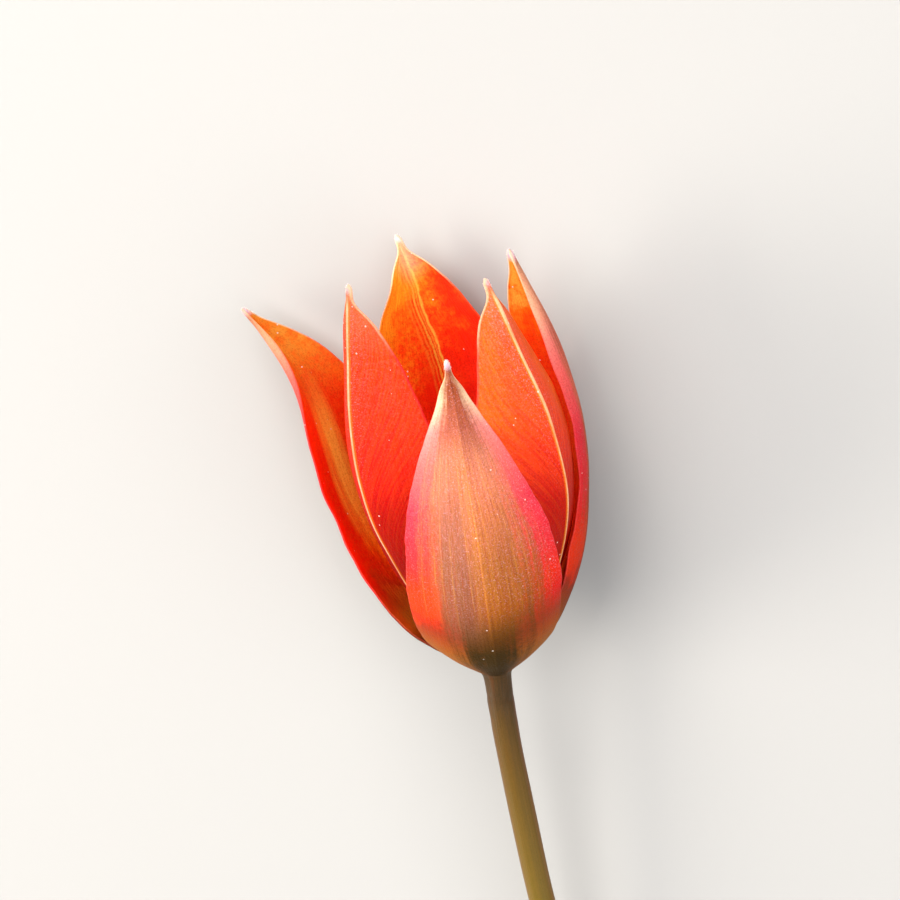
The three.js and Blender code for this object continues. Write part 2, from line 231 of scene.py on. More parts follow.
# Stamens. Each organ is sunk a little into what carries it, and has mesh steps round it and along it.
STAMEN_COUNT = 6
STAMEN_RING = 1.75
STAMEN_LEAN = 1.5
TURN_VARIETY = 0.08
LENGTH_VARIETY = 0.05
LEAN_VARIETY = 0.35
STAMEN_PROBE = 0.01
JOIN_GAP = 0.3
FILAMENT_RADIUS = 0.5
FILAMENT_LENGTH = 8.6
FILAMENT_PROFILE = [0.8, 1.0, 0.95, 0.86, 0.78, 0.68, 0.6]
FILAMENT_UNEVENNESS = 0.05
FILAMENT_STEPS = (28, 60)
ANTHER_LENGTH = 7.2
ANTHER_HALF_WIDTH = 0.95
ANTHER_HALF_DEPTH = 0.7
ANTHER_PROFILE = [0.7, 0.94, 1.0, 0.97, 0.88, 0.7, 0.45]
ANTHER_SINK = 0.25
ANTHER_BOW = 0.25
ANTHER_WAIST = 0.34
ANTHER_SEAM = (0.12, 0.12)
ANTHER_GRAIN = 0.05
ANTHER_STEPS = (56, 90)

# Pistil. A seam is how deep it is and how wide.
OVARY_RADIUS = 1.55
OVARY_LENGTH = 9.6
OVARY_PROFILE = [0.62, 0.86, 0.98, 1.0, 0.95, 0.86, 0.66]
OVARY_SINK = 0.2
OVARY_OVERLAP = 0.8
OVARY_SIDES = 0.1
OVARY_SEAM = (0.06, 0.16)
OVARY_STEPS = (90, 110)
STIGMA_RADIUS = 1.75
STIGMA_HEIGHT = 1.6
STIGMA_PROFILE = [0.55, 0.86, 1.0, 0.98, 0.7]
STIGMA_LOBES = 0.28
STIGMA_PAPILLAE = 0.05
STIGMA_CLEFT = (0.22, 0.14)
STIGMA_STEPS = (96, 60)

# Hairs and pollen, with each hair's radius at its root and at its tip
HAIRS_PER_FILAMENT = 90
TUFT_START = 0.02
TUFT_LENGTH = 0.2
FILAMENT_HAIR_ROOT = 0.85
FILAMENT_HAIR_RISES = (0.2, 0.9)
FILAMENT_HAIR_LENGTHS = (0.5, 1.0)
FILAMENT_HAIR_RADII = (0.035, 0.004)
HAIRS_PER_TIP = 80
TIP_HAIR_RISES = (0.1, 0.9)
TIP_HAIR_LENGTHS = (0.05, 0.16)
TIP_HAIR_RADII = (0.02, 0.003)
HAIRY_FROM = 0.976
GRAINS_PER_ANTHER = 170
POLLEN_SPAN = (0.06, 0.95)
GRAIN_RADII = (0.035, 0.06)
SEED = 7

# Paints, as seen in soft daylight
PAINTS = {
    "near black": "231a0c", "dark olive": "2f2206", "olive brown": "3e2b04", "olive": "665618",
    "stem brown": "4a3606", "umber": "70400c", "brown": "a0500f", "ochre": "a4601e", "tan": "c2713a",
    "peach": "d88355", "buff": "c87e58", "dusky": "a0502f", "mauve_and_shade": "8a5a4e", "rust": "a83a18",
    "gold": "f9b040", "glow": "ffc048", "dull gold": "e0912c", "golden orange": "fd9a1c",
    "orange": "fc6e0e", "flame": "fa420a", "orange red": "f42a06", "red": "ea1404",
    "deep red": "bc0c03", "crimson": "a00a03", "rose": "ea3048", "rose red": "f02a30",
    "pink": "f4706c", "salmon": "f26c42", "pale pink": "f89890", "lilac": "f2cfe6",
    "nub": "f8eef4", "white": "fff4ec", "cream": "fbe0b4", "ivory": "fff0c8",
    "green": "6f7d2a", "pale green": "c6bc62",
}

# Colours along a piece, from its foot at 0 to its tip or top at 1
OUTER_BACK_MIDDLE = [
    (0.0, "olive brown"), (0.2, "olive brown"), (0.28, "umber"), (0.35, "brown"), (0.48, "ochre"),
    (0.61, "tan"), (0.68, "peach"), (0.75, "buff"), (0.83, "dusky"), (0.972, "dusky"),
    (0.988, "lilac"), (1.0, "nub"),
]
OUTER_BACK_EDGE = [
    (0.0, "umber"), (0.08, "ochre"), (0.17, "ochre"), (0.26, "rust"), (0.33, "red"),
    (0.4, "orange red"), (0.48, "rose red"), (0.62, "rose"), (0.74, "pink"), (0.82, "pale pink"),
    (0.9, "cream"), (0.945, "buff"), (0.97, "dusky"), (0.985, "lilac"), (1.0, "nub"),
]
OUTER_FACE_COLOURS = [
    (0.0, "near black"), (0.09, "dark olive"), (0.14, "umber"), (0.19, "dull gold"),
    (0.24, "dull gold"), (0.31, "rust"), (0.38, "red"), (0.6, "orange red"), (0.8, "flame"),
    (0.89, "orange"), (0.94, "dull gold"), (0.97, "dull gold"),
]
# Colours of the painted glow of light shining through along the rib of an outer tepal's inside
OUTER_FACE_PAINTED_GLOW = [(0.4, "orange"), (0.58, "glow")]
INNER_BACK_COLOURS = [
    (0.0, "olive"), (0.1, "umber"), (0.18, "crimson"), (0.36, "crimson"), (0.5, "deep red"),
    (0.63, "red"), (0.75, "orange red"), (0.85, "flame"), (0.92, "salmon"), (0.955, "peach"),
    (0.977, "buff"), (0.987, "lilac"), (0.994, "nub"),
]
INNER_FACE_COLOURS = [
    (0.0, "near black"), (0.1, "dark olive"), (0.16, "umber"), (0.24, "deep red"), (0.45, "red"),
    (0.66, "orange red"), (0.8, "flame"), (0.9, "orange"), (1.0, "golden orange"),
]
STEM_COLOURS = [
    (0.0, "olive"), (0.4, "olive"), (0.62, "stem brown"), (0.78, "dark olive"), (1.0, "dark olive"),
]

# Marks on a tepal. Count is how many lie across it, and Run how soon they change along it.
FINE_STREAKS = {"Count": 30.0, "Run": 5.0}
BROAD_STREAKS = {"Count": 9.0, "Run": 2.2}
GRAIN_STREAKS = {"Count": 58.0, "Run": 42.0}
RUSTY_VEINS = {"Count": 13.0, "Width": 0.12}
GOLDEN_VEINS = {"Count": 7.0, "Width": 0.1}
TEPAL_TISSUE = {"Cell size": 0.2, "Cloud size": 2.6}
TEPAL_RELIEF = 0.08
TEPAL_ROUGHNESS = 0.38
SPECK_SPACING = 1.2
SPECK_SIZE = 0.08

# Yellow streaks by the rib of an inner face: millimetres off the rib, strength and width
RIB_STREAKS = [(-0.24, 0.9, 0.24), (0.1, 0.4, 0.14), (0.4, 0.85, 0.18), (0.8, 0.3, 0.14), (1.25, 0.2, 0.22)]
RIB_STREAK_CORE = 0.03

# Studio: each light's place and size in metres, its power and its colour
LIGHTS = {
    "key": ((-0.3, 0.24, 0.66), 0.5, 5.05, (1.0, 0.97, 0.92)),
    "fill": ((0.46, -0.02, 0.56), 0.7, 5.8, (1.0, 0.98, 0.96)),
    "back": ((-0.1, 0.7, 0.4), 0.4, 5.4, (1.0, 0.95, 0.86)),
    "side": ((-0.58, 0.0, 0.27), 0.35, 7.0, (1.0, 0.93, 0.82)),
}
ROOM_COLOUR = (0.9, 0.93, 1.0, 1)
ROOM_LIGHT = 0.45
FLOOR_HALF_WIDTH = 6000.0
FLOOR_CLOUD_RATE = 6.0
FLOOR_CLOUDINESS = 0.1
FLOOR_TONES = ((0.335, 0.333, 0.33, 1), (0.31, 0.31, 0.308, 1))


# Small helpers for shapes

def along(values, share):
    """A smooth curve through values at even stations, read at a share of the way from 0 to 1."""
    last = len(values) - 1
    place = min(max(share, 0.0), 1.0) * last
    i = min(int(place), last - 1)
    f = place - i
    a, b = values[i], values[i + 1]
    before = values[i - 1] if i > 0 else 2 * values[0] - values[1]
    after = values[i + 2] if i + 2 <= last else 2 * values[last] - values[last - 1]
    return 0.5 * (
        2 * a + (b - before) * f + (2 * before - 5 * a + 4 * b - after) * f * f
        + (3 * a - before - 3 * b + after) * f * f * f
    )


def step_up(low, high, value):
    """0 below low, 1 above high, and a soft rise between them."""
    x = min(max((value - low) / (high - low), 0.0), 1.0)
    return x * x * (3 - 2 * x)


def hump(value, width):
    """1 where a value is 0, and fading out over the width on either side."""
    return math.exp(-((value / width) ** 2))


def blade_noise(rates, t, across, seed):
    """Noise from -1 to 1 at a place on a tepal."""
    return noise.noise(Vector((t * rates[0], across * rates[1], seed * rates[2])))


def round_noise(turn, rate, height):
    """Noise from -1 to 1 on a round body, at a turn and a height that is already scaled."""
    return noise.noise(Vector((math.cos(turn) * rate, math.sin(turn) * rate, height)))


def closed_piece(name, round_steps, long_steps, place, materials, maps=None, face_material=None):
    """A closed body bent from a grid. place(column, row) gives each point in millimetres: the first and
    last columns meet, and the first and last rows draw together to a point or a line."""
    bm = bmesh.new()
    bmesh.ops.create_grid(bm, x_segments=round_steps, y_segments=long_steps, size=1.0)
    spots = {}
    for vert in bm.verts:
        spots[vert] = (round((vert.co.x + 1) / 2 * round_steps), round((vert.co.y + 1) / 2 * long_steps))
    for layer_name, value_at in (maps or {}).items():
        layer = bm.loops.layers.uv.new(layer_name)
        for face in bm.faces:
            for loop in face.loops:
                loop[layer].uv = value_at(*spots[loop.vert])
    for face in bm.faces:
        face.smooth = True
        if face_material:
            column = min(spots[v][0] for v in face.verts)
            row = min(spots[v][1] for v in face.verts)
            face.material_index = face_material(column, row)
    for vert, spot in spots.items():
        vert.co = place(*spot)
    bmesh.ops.remove_doubles(bm, verts=bm.verts, dist=MERGE_DISTANCE)
    return finished(name, bm, materials)


def finished(name, bm, materials):
    """The object of a bmesh in millimetres, with its place in its mesh."""
    bmesh.ops.scale(bm, vec=(MM, MM, MM), verts=bm.verts)
    mesh = bpy.data.meshes.new(name)
    bm.to_mesh(mesh)
    bm.free()
    for material in materials:
        mesh.materials.append(material)
    piece = bpy.data.objects.new(name, mesh)
    bpy.context.scene.collection.objects.link(piece)
    return piece


def add_to(piece, bm_extra, material_index=0):
    """Adds loose small shapes, given in world millimetres, to a finished piece."""
    bmesh.ops.scale(bm_extra, vec=(MM, MM, MM), verts=bm_extra.verts)
    for face in bm_extra.faces:
        face.smooth = True
        face.material_index = material_index
    extra = bpy.data.meshes.new("extra")
    bm_extra.to_mesh(extra)
    bm_extra.free()
    bm = bmesh.new()
    bm.from_mesh(piece.data)
    bm.from_mesh(extra)
    bm.to_mesh(piece.data)
    bm.free()
    bpy.data.meshes.remove(extra)


def add_hair(bm, middle, way, length, radii):
    """One thin open cone, from its middle and the way it points."""
    turned = way.to_track_quat("Z", "Y").to_matrix().to_4x4()
    bmesh.ops.create_cone(bm, cap_ends=False, segments=3, radius1=radii[0], radius2=radii[1], depth=length,
                          matrix=Matrix.Translation(middle) @ turned)


# Small helpers for materials

def paint(name):
    """One of the paints as a linear colour."""
    channels = [int(PAINTS[name][i:i + 2], 16) / 255 for i in (0, 2, 4)]
    return tuple(c / 12.92 if c <= 0.04045 else ((c + 0.055) / 1.055) ** 2.4 for c in channels) + (1.0,)


def feed(tree, socket, value):
    """Links a socket to an input, or sets the input to a value."""
    if isinstance(value, bpy.types.NodeSocket):
        tree.links.new(value, socket)
    else:
        socket.default_value = value


def put(tree, kind, inputs=None, **settings):
    """A node of a kind with its settings, and each named input given a value or linked."""
    node = tree.nodes.new("ShaderNode" + kind)
    for name, value in settings.items():
        setattr(node, name, value)
    for name, value in (inputs or {}).items():
        feed(tree, node.inputs[name], value)
    return node


def calc(tree, operation, a, b=0.0, c=0.0):
    """One step of arithmetic."""
    return put(tree, "Math", {0: a, 1: b, 2: c}, operation=operation).outputs[0]


def times(tree, first, *others):
    """The product of two or more values."""
    for other in others:
        first = calc(tree, "MULTIPLY", first, other)
    return first


def scaled(tree, value, factor, offset):
    """A value times a factor, plus an offset."""
    return calc(tree, "MULTIPLY_ADD", value, factor, offset)


def size_of(tree, value):
    """A value without its sign."""
    return calc(tree, "ABSOLUTE", value)


def mask(tree, value, low, high):
    """0 where a value is at low, 1 where it is at high."""
    limits = {"Value": value, "From Min": low, "From Max": high}
    return put(tree, "MapRange", limits, interpolation_type="SMOOTHSTEP", clamp=True).outputs["Result"]


def mix(tree, share, a, b, mode="MIX"):
    """Two colours mixed by a share."""
    node = put(tree, "Mix", {0: share, 6: a, 7: b}, data_type="RGBA", blend_type=mode, clamp_factor=True)
    return node.outputs[2]


def tint(tree, colour, name, share, strength=1.0, mode="MIX"):
    """A colour with a paint laid over it, by a share and up to a strength."""
    if strength != 1.0:
        share = times(tree, share, strength)
    return mix(tree, share, colour, paint(name), mode)


def ramp(tree, value, stops):
    """A colour that runs through named paints, each at its place."""
    node = put(tree, "ValToRGB", {0: value})
    elements = node.color_ramp.elements
    while len(elements) > 1:
        elements.remove(elements[-1])
    for number, (place, name) in enumerate(stops):
        element = elements[0] if number == 0 else elements.new(place)
        element.position = place
        element.color = paint(name)
    return node.outputs[0]


def vector_of(tree, x, y, z):
    """Three values as one vector."""
    return put(tree, "CombineXYZ", {0: x, 1: y, 2: z}).outputs[0]


def parts_of(tree, vector):
    """The three values of a vector."""
    return put(tree, "SeparateXYZ", {0: vector}).outputs


def uv_map(tree, name):
    """The two values of one of a piece's own maps."""
    return parts_of(tree, put(tree, "UVMap", uv_map=name).outputs[0])


def pattern(tree, vector, scale, detail=2.0, roughness=0.5):
    """Smooth noise from 0 to 1."""
    inputs = {"Vector": vector, "Scale": scale, "Detail": detail, "Roughness": roughness, "Distortion": 0.0}
    return put(tree, "TexNoise", inputs).outputs[0]


def group_tree(name, inputs):
    """A shader node group with named value inputs."""
    tree = bpy.data.node_groups.new(name, "ShaderNodeTree")
    for socket_name, default in inputs.items():
        made = tree.interface.new_socket(name=socket_name, in_out="INPUT", socket_type="NodeSocketFloat")
        made.default_value = default
    return tree, tree.nodes.new("NodeGroupInput").outputs


def give_out(tree, values):
    """Gives a group one output for each named value."""
    for socket_name in values:
        tree.interface.new_socket(name=socket_name, in_out="OUTPUT", socket_type="NodeSocketFloat")
    out = tree.nodes.new("NodeGroupOutput").inputs
    for socket_name, value in values.items():
        tree.links.new(value, out[socket_name])
    return tree


def use(tree, group, inputs=None):
    """Places a group in a material and returns its outputs."""
    node = tree.nodes.new("ShaderNodeGroup")
    node.node_tree = group
    for name, value in (inputs or {}).items():
        feed(tree, node.inputs[name], value)
    return node.outputs


# Effects that several materials share

def blade_places():
    """Where a spot lies on a blade: across from -1 to 1, along from 0 to 1, and its distance in
    millimetres from the rib and from the nearer margin."""
    tree, _ = group_tree("Blade places", {})
    share, measured = uv_map(tree, "share"), uv_map(tree, "measured")
    return give_out(tree, {
        "Across": scaled(tree, share[0], 2.0, -1.0),
        "Along": share[1],
        "Off rib": measured[0],
        "From rib": size_of(tree, measured[0]),
        "From margin": measured[1],
    })


def blade_spot(tree, given, across_rate, along_rate):
    """A place on a blade for noise that changes at these rates across it and along it."""
    x = times(tree, given["Across"], across_rate)
    return vector_of(tree, x, times(tree, given["Along"], along_rate), given["Seed"])


def lengthwise_streaks():
    """Streaks that run from the base of a blade to its tip and close up with it."""
    inputs = {"Across": 0, "Along": 0, "Count": 20, "Run": 1.5, "Seed": 0}
    tree, given = group_tree("Lengthwise streaks", inputs)
    waver = pattern(tree, blade_spot(tree, given, 3.0, 7.0), 1.0, 1.0)
    x = scaled(tree, waver, 0.9, times(tree, given["Across"], given["Count"]))
    y = times(tree, given["Along"], given["Run"])
    streaks = pattern(tree, vector_of(tree, x, y, given["Seed"]), 1.0, 3.0, 0.6)
    level = size_of(tree, calc(tree, "SUBTRACT", streaks, 0.5))
    return give_out(tree, {
        "Streaks": mask(tree, streaks, 0.36, 0.66),
        "Lines": mask(tree, level, 0.035, 0.006),
    })


def long_veins():
    """Thin veins at uneven distances from the base of a blade to its tip, fainter here and there."""
    tree, given = group_tree("Long veins", {"Across": 0, "Along": 0, "Count": 8, "Width": 0.1, "Seed": 0})
    waver = pattern(tree, blade_spot(tree, given, 2.0, 5.0), 1.0, 2.0)
    x = scaled(tree, waver, 0.45, times(tree, given["Across"], given["Count"]))
    x = calc(tree, "ADD", x, given["Seed"])
    cells = put(tree, "TexVoronoi", {"W": x, "Scale": 1.0, "Randomness": 0.8},
                voronoi_dimensions="1D", feature="DISTANCE_TO_EDGE")
    thin = times(tree, given["Width"], 0.25)
    line = mask(tree, cells.outputs["Distance"], given["Width"], thin)
    spots = vector_of(tree, times(tree, x, 1.3), times(tree, given["Along"], 9.0), given["Seed"])
    shown = mask(tree, pattern(tree, spots, 1.0, 2.0), 0.36, 0.58)
    return give_out(tree, {"Veins": times(tree, line, shown)})


def feathering():
    """Fine lines that leave the rib of a blade at a slant and bend up towards its tip."""
    tree, given = group_tree("Feathering", {"Across": 0, "Along": 0, "Seed": 0})
    aside = calc(tree, "POWER", size_of(tree, given["Across"]), 0.7)
    x = scaled(tree, given["Along"], 110.0, times(tree, aside, -36.0))
    y = times(tree, given["Across"], 3.0)
    lines = pattern(tree, vector_of(tree, x, y, given["Seed"]), 1.0, 3.0, 0.6)
    return give_out(tree, {"Feathers": mask(tree, lines, 0.36, 0.66)})


def tissue():
    """The skin of living tissue: fine cells, soft clouds of colour and a few bright specks."""
    tree, given = group_tree("Tissue", {"Cell size": 0.1, "Cloud size": 3.0})
    place = put(tree, "TexCoord").outputs["Object"]
    cell_scale = calc(tree, "DIVIDE", 1 / MM, given["Cell size"])
    cloud_scale = calc(tree, "DIVIDE", 1 / MM, given["Cloud size"])
    mottle = pattern(tree, place, times(tree, cell_scale, 0.42), 2.0, 0.6)
    dust = pattern(tree, place, times(tree, cell_scale, 1.2), 2.0, 0.7)
    dots = put(tree, "TexVoronoi", {"Vector": place, "Scale": 1 / (SPECK_SPACING * MM)}, feature="F1")
    chosen = parts_of(tree, dots.outputs["Color"])[0]
    size = times(tree, mask(tree, chosen, 0.35, 0.95), SPECK_SIZE)
    return give_out(tree, {
        "Cells": mask(tree, pattern(tree, place, cell_scale, 2.0, 0.6), 0.3, 0.7),
        "Mottle": mask(tree, mottle, 0.34, 0.66),
        "Clouds": mask(tree, pattern(tree, place, cloud_scale, 3.0, 0.55), 0.32, 0.68),
        "Dust": mask(tree, dust, 0.52, 0.74),
        "Specks": calc(tree, "LESS_THAN", dots.outputs["Distance"], size),
    })


BLADE_PLACES = blade_places()
STREAKS = lengthwise_streaks()
LONG_VEINS = long_veins()
FEATHERING = feathering()
TISSUE = tissue()


# Skin of the tepals

def new_material(name):
    """An empty material and its node tree."""
    material = bpy.data.materials.new(name)
    material.use_nodes = True
    material.node_tree.nodes.clear()
    return material, material.node_tree


def tepal_material(name, colouring, seed, through_share, wishes):
    """A tepal's skin: coloured by one of the colourings below, finely ribbed and granular, and
    letting light through."""
    material, tree = new_material(name)
    places = use(tree, BLADE_PLACES)
    spot = {"Across": places["Across"], "Along": places["Along"]}
    fine = use(tree, STREAKS, {**spot, **FINE_STREAKS, "Seed": seed})
    broad = use(tree, STREAKS, {**spot, **BROAD_STREAKS, "Seed": seed + 5})
    grain = use(tree, STREAKS, {**spot, **GRAIN_STREAKS, "Seed": seed + 9})
    skin = use(tree, TISSUE, TEPAL_TISSUE)
    feathers = use(tree, FEATHERING, {**spot, "Seed": seed})["Feathers"]
    rusty, golden = [
        use(tree, LONG_VEINS, {**spot, **veins, "Seed": seed + veins["Count"]})["Veins"]
        for veins in (RUSTY_VEINS, GOLDEN_VEINS)
    ]
    marks = {
        "rusty veins": rusty, "golden veins": golden, "fine": fine["Streaks"], "lines": fine["Lines"],
        "broad": broad["Streaks"], "grain": grain["Streaks"], "feathers": feathers,
        "cells": skin["Cells"], "mottle": skin["Mottle"], "clouds": skin["Clouds"], "dust": skin["Dust"],
    }
    colour = colouring(tree, places, marks, **wishes)
    colour = tint(tree, colour, "white", skin["Cells"], strength=0.15, mode="SOFT_LIGHT")
    colour = tint(tree, colour, "dusky", mask(tree, skin["Cells"], 0.5, 0.0), strength=0.2, mode="MULTIPLY")
    colour = tint(tree, colour, "white", skin["Specks"], strength=0.8)
    height = scaled(tree, fine["Streaks"], 0.5, times(tree, skin["Cells"], 0.5))
    height = scaled(tree, feathers, 0.25, height)
    relief = {"Strength": 0.7, "Distance": TEPAL_RELIEF * MM, "Height": height}
    bumps = put(tree, "Bump", relief).outputs[0]
    face = put(tree, "BsdfPrincipled", {
        "Base Color": colour, "Roughness": scaled(tree, skin["Cells"], 0.16, TEPAL_ROUGHNESS),
        "Normal": bumps, "IOR": 1.38, "Specular IOR Level": 0.16,
    })
    below_tip = mask(tree, places["Along"], 0.985, 0.96)
    warm = tint(tree, colour, "orange red", below_tip, strength=0.4, mode="MULTIPLY")
    through = put(tree, "BsdfTranslucent", {"Color": warm, "Normal": bumps})
    both = put(tree, "MixShader", {0: through_share, 1: face.outputs[0], 2: through.outputs[0]})
    put(tree, "OutputMaterial", {0: both.outputs[0]})
    return material


# The four colourings of the tepals. On a blade, way runs from 0 at the foot to 1 at the tip, and across
# from -1 to 1. The two numbers of a mask are where it is empty and where it is full.

def margin_line(tree, places, colour, name, share=0.4, width=0.16):
    """A thin line along the margin, in a paint that turns to cream near the tip."""
    line = mask(tree, places["From margin"], width, width * 0.25)
    low = times(tree, mask(tree, places["Along"], 0.96, 0.87), share)
    high = times(tree, mask(tree, places["Along"], 0.84, 0.93), 0.75)
    colour = tint(tree, colour, name, times(tree, line, low))
    return tint(tree, colour, "cream", times(tree, line, high))


def clouded(tree, places, marks, value, amount):
    """A value that the clouds of colour push up and down, except near the foot."""
    push = calc(tree, "SUBTRACT", marks["clouds"], 0.5)
    push = times(tree, push, mask(tree, places["Along"], 0.15, 0.45))
    return scaled(tree, push, amount, value)


def outer_back(tree, places, marks, pallor):
    """Outside of an outer tepal: buff and gold lines between rose margins, dark olive brown at the foot."""
    across, way = places["Across"], places["Along"]
    distance = size_of(tree, across)
    wander = scaled(tree, marks["broad"], 0.22, scaled(tree, marks["mottle"], 0.09, -0.15))
    wander = times(tree, wander, mask(tree, way, 0.04, 0.24))
    wander = scaled(tree, mask(tree, way, 0.74, 0.9), 0.08, wander)
    wander = scaled(tree, mask(tree, way, 0.34, 0.2), 0.22, wander)
    at_edge = mask(tree, calc(tree, "ADD", distance, wander), 0.36, 0.9)
    colour = mix(tree, at_edge, ramp(tree, way, OUTER_BACK_MIDDLE), ramp(tree, way, OUTER_BACK_EDGE))

    # Painted sunlight: a bright flame patch low on one side, with a sharp edge where a shadow ends.
    low_side = times(tree, mask(tree, across, -0.5, -0.66), mask(tree, way, 0.46, 0.36))
    painted_sunlight = times(tree, low_side, mask(tree, scaled(tree, marks["clouds"], 0.06, way), 0.29, 0.35))
    colour = tint(tree, colour, "flame", painted_sunlight, strength=0.8)

    middle = mask(tree, distance, 0.85, 0.2)
    above_foot = mask(tree, way, 0.24, 0.42)
    golden = times(tree, marks["broad"], middle, mask(tree, way, 0.9, 0.66), above_foot)
    colour = tint(tree, colour, "dull gold", golden, strength=0.34)
    off_gold = size_of(tree, calc(tree, "ADD", across, 0.04))
    sunlit = times(tree, mask(tree, off_gold, 0.26, 0.04), scaled(tree, marks["fine"], 0.6, 0.4))
    sunlit = times(tree, sunlit, above_foot, mask(tree, way, 0.82, 0.62))
    colour = tint(tree, colour, "dull gold", sunlit, strength=0.26)
    shaded = times(tree, mask(tree, marks["fine"], 0.5, 0.0), middle, above_foot)
    colour = tint(tree, colour, "rust", shaded, strength=0.18)

    # A dusky patch left of the middle, low on the blade: partly the tepal's own dusty colour, partly
    # painted shade on that side.
    off_shaded_mauve = size_of(tree, calc(tree, "ADD", across, 0.32))
    mauve_and_shade = times(tree, mask(tree, off_shaded_mauve, 0.36, 0.08), mask(tree, way, 0.2, 0.36))
    mauve_and_shade = times(tree, mauve_and_shade, scaled(tree, marks["cells"], 0.6, 0.4), mask(tree, way, 0.8, 0.6))
    colour = tint(tree, colour, "mauve_and_shade", mauve_and_shade, strength=0.78)
    # Pale pink grain: partly the tepal's own waxy coat, partly painted sheen.
    bloom_and_sheen = times(tree, scaled(tree, marks["grain"], 0.8, 0.15), mask(tree, way, 0.3, 0.7))
    inside = times(tree, mask(tree, way, 0.95, 0.8), mask(tree, distance, 1.2, 0.4))
    colour = tint(tree, colour, "pale pink", times(tree, bloom_and_sheen, inside), strength=0.3)

    on_blade = times(tree, mask(tree, distance, 0.98, 0.6), above_foot)
    colour = tint(tree, colour, "gold", times(tree, marks["golden veins"], on_blade), strength=0.16)
    colour = tint(tree, colour, "rust", times(tree, marks["rusty veins"], on_blade), strength=0.38)

    rim = times(tree, mask(tree, places["From margin"], 0.7, 0.15), mask(tree, way, 0.8, 0.9))
    rim = times(tree, rim, mask(tree, way, 0.975, 0.93))
    colour = tint(tree, colour, "cream", rim, strength=0.4)
    pale = times(tree, mask(tree, way, 0.76, 0.94), mask(tree, way, 0.985, 0.96))
    colour = tint(tree, colour, "cream", pale, strength=pallor)
    dusted = scaled(tree, mask(tree, across, -0.7, -0.1), 0.5, 0.5)
    dusted = times(tree, dusted, above_foot, marks["dust"])
    colour = tint(tree, colour, "lilac", dusted, strength=0.32)
    return margin_line(tree, places, colour, "pink", share=0.3)


def outer_face(tree, places, marks, painted_glow_band, smudge, brightness):
    """Inside of an outer tepal: golden at the tip, through orange to red, with a painted glow along the rib
    where light shines through.
    """
    way = places["Along"]
    wandering = clouded(tree, places, marks, way, 0.12)
    colour = ramp(tree, wandering, OUTER_FACE_COLOURS)
    colour = tint(tree, colour, "gold", mask(tree, wandering, 0.87, 0.95), strength=brightness)
    reddened = times(tree, mask(tree, way, 0.14, 0.3), mask(tree, way, 0.8, 0.62))
    colour = tint(tree, colour, "orange red", reddened, strength=brightness)
    colour = tint(tree, colour, "orange", marks["mottle"], strength=0.2)

    # Painted glow: a bright strip along the rib, standing in for light shining through the tepal.
    near_rib = scaled(tree, marks["broad"], 0.8, places["From rib"])
    painted_glow = times(tree, mask(tree, near_rib, 2.4, 0.7), mask(tree, wandering, 0.34, 0.46))
    painted_glow = times(tree, painted_glow, mask(tree, way, 0.84, 0.64))
    colour = mix(tree, times(tree, painted_glow, painted_glow_band), colour, ramp(tree, way, OUTER_FACE_PAINTED_GLOW))

    smudges = times(tree, scaled(tree, marks["mottle"], 0.5, 0.5), mask(tree, way, 0.72, 0.86))
    smudges = times(tree, smudges, mask(tree, way, 0.985, 0.95))
    colour = tint(tree, colour, "dull gold", smudges, strength=smudge)
    colour = tint(tree, colour, "red", marks["lines"], strength=0.2)
    colour = tint(tree, colour, "lilac", mask(tree, way, 0.972, 0.99))
    return margin_line(tree, places, colour, "pink")


def inner_back(tree, places, marks, rib, rib_width, warmth_and_sun_glow):
    """Outside of an inner tepal: orange-red with a salmon waxy coat and painted sheen, feathered from a
    thin cream rib.
    """
    way, from_rib = places["Along"], places["From rib"]
    colour = ramp(tree, way, INNER_BACK_COLOURS)
    # Orange towards the margins, set for each tepal: partly its own colour, partly painted sun glow.
    sides_and_sun_glow = scaled(tree, mask(tree, size_of(tree, places["Across"]), 0.15, 0.8), 0.6, 0.4)
    sides_and_sun_glow = times(tree, sides_and_sun_glow, mask(tree, way, 0.5, 0.76))
    colour = tint(tree, colour, "orange", sides_and_sun_glow, strength=warmth_and_sun_glow)
    colour = tint(tree, colour, "deep red", mask(tree, marks["feathers"], 0.7, 0.1), strength=0.3)
    lit = times(tree, marks["feathers"], mask(tree, way, 0.2, 0.7))
    colour = tint(tree, colour, "orange", lit, strength=0.2)

    # Pale pink over the upper half: partly the tepal's own waxy coat, partly painted sheen.
    bloom_and_sheen = times(tree, marks["mottle"], mask(tree, way, 0.5, 0.95))
    bloom_and_sheen = times(tree, bloom_and_sheen, scaled(tree, marks["cells"], 0.8, 0.2))
    colour = tint(tree, colour, "pale pink", bloom_and_sheen, strength=0.18)
    by_rib = scaled(tree, mask(tree, from_rib, 2.5, 0.4), 0.75, 0.25)
    dusted = times(tree, marks["dust"], by_rib, mask(tree, way, 0.45, 0.8))
    colour = tint(tree, colour, "lilac", dusted, strength=0.36)

    on_rib = times(tree, mask(tree, way, 0.1, 0.2), mask(tree, way, 0.982, 0.945))
    golden = times(tree, mask(tree, from_rib, rib_width * 3, rib_width * 0.6), on_rib)
    colour = tint(tree, colour, "golden orange", golden, strength=0.6)
    crest = times(tree, mask(tree, from_rib, rib_width, rib_width * 0.3), on_rib)
    crest = times(tree, crest, scaled(tree, marks["clouds"], 0.5, 0.5))
    colour = tint(tree, colour, "ivory", crest, strength=rib)
    return margin_line(tree, places, colour, "rose", share=0.5, width=0.4)


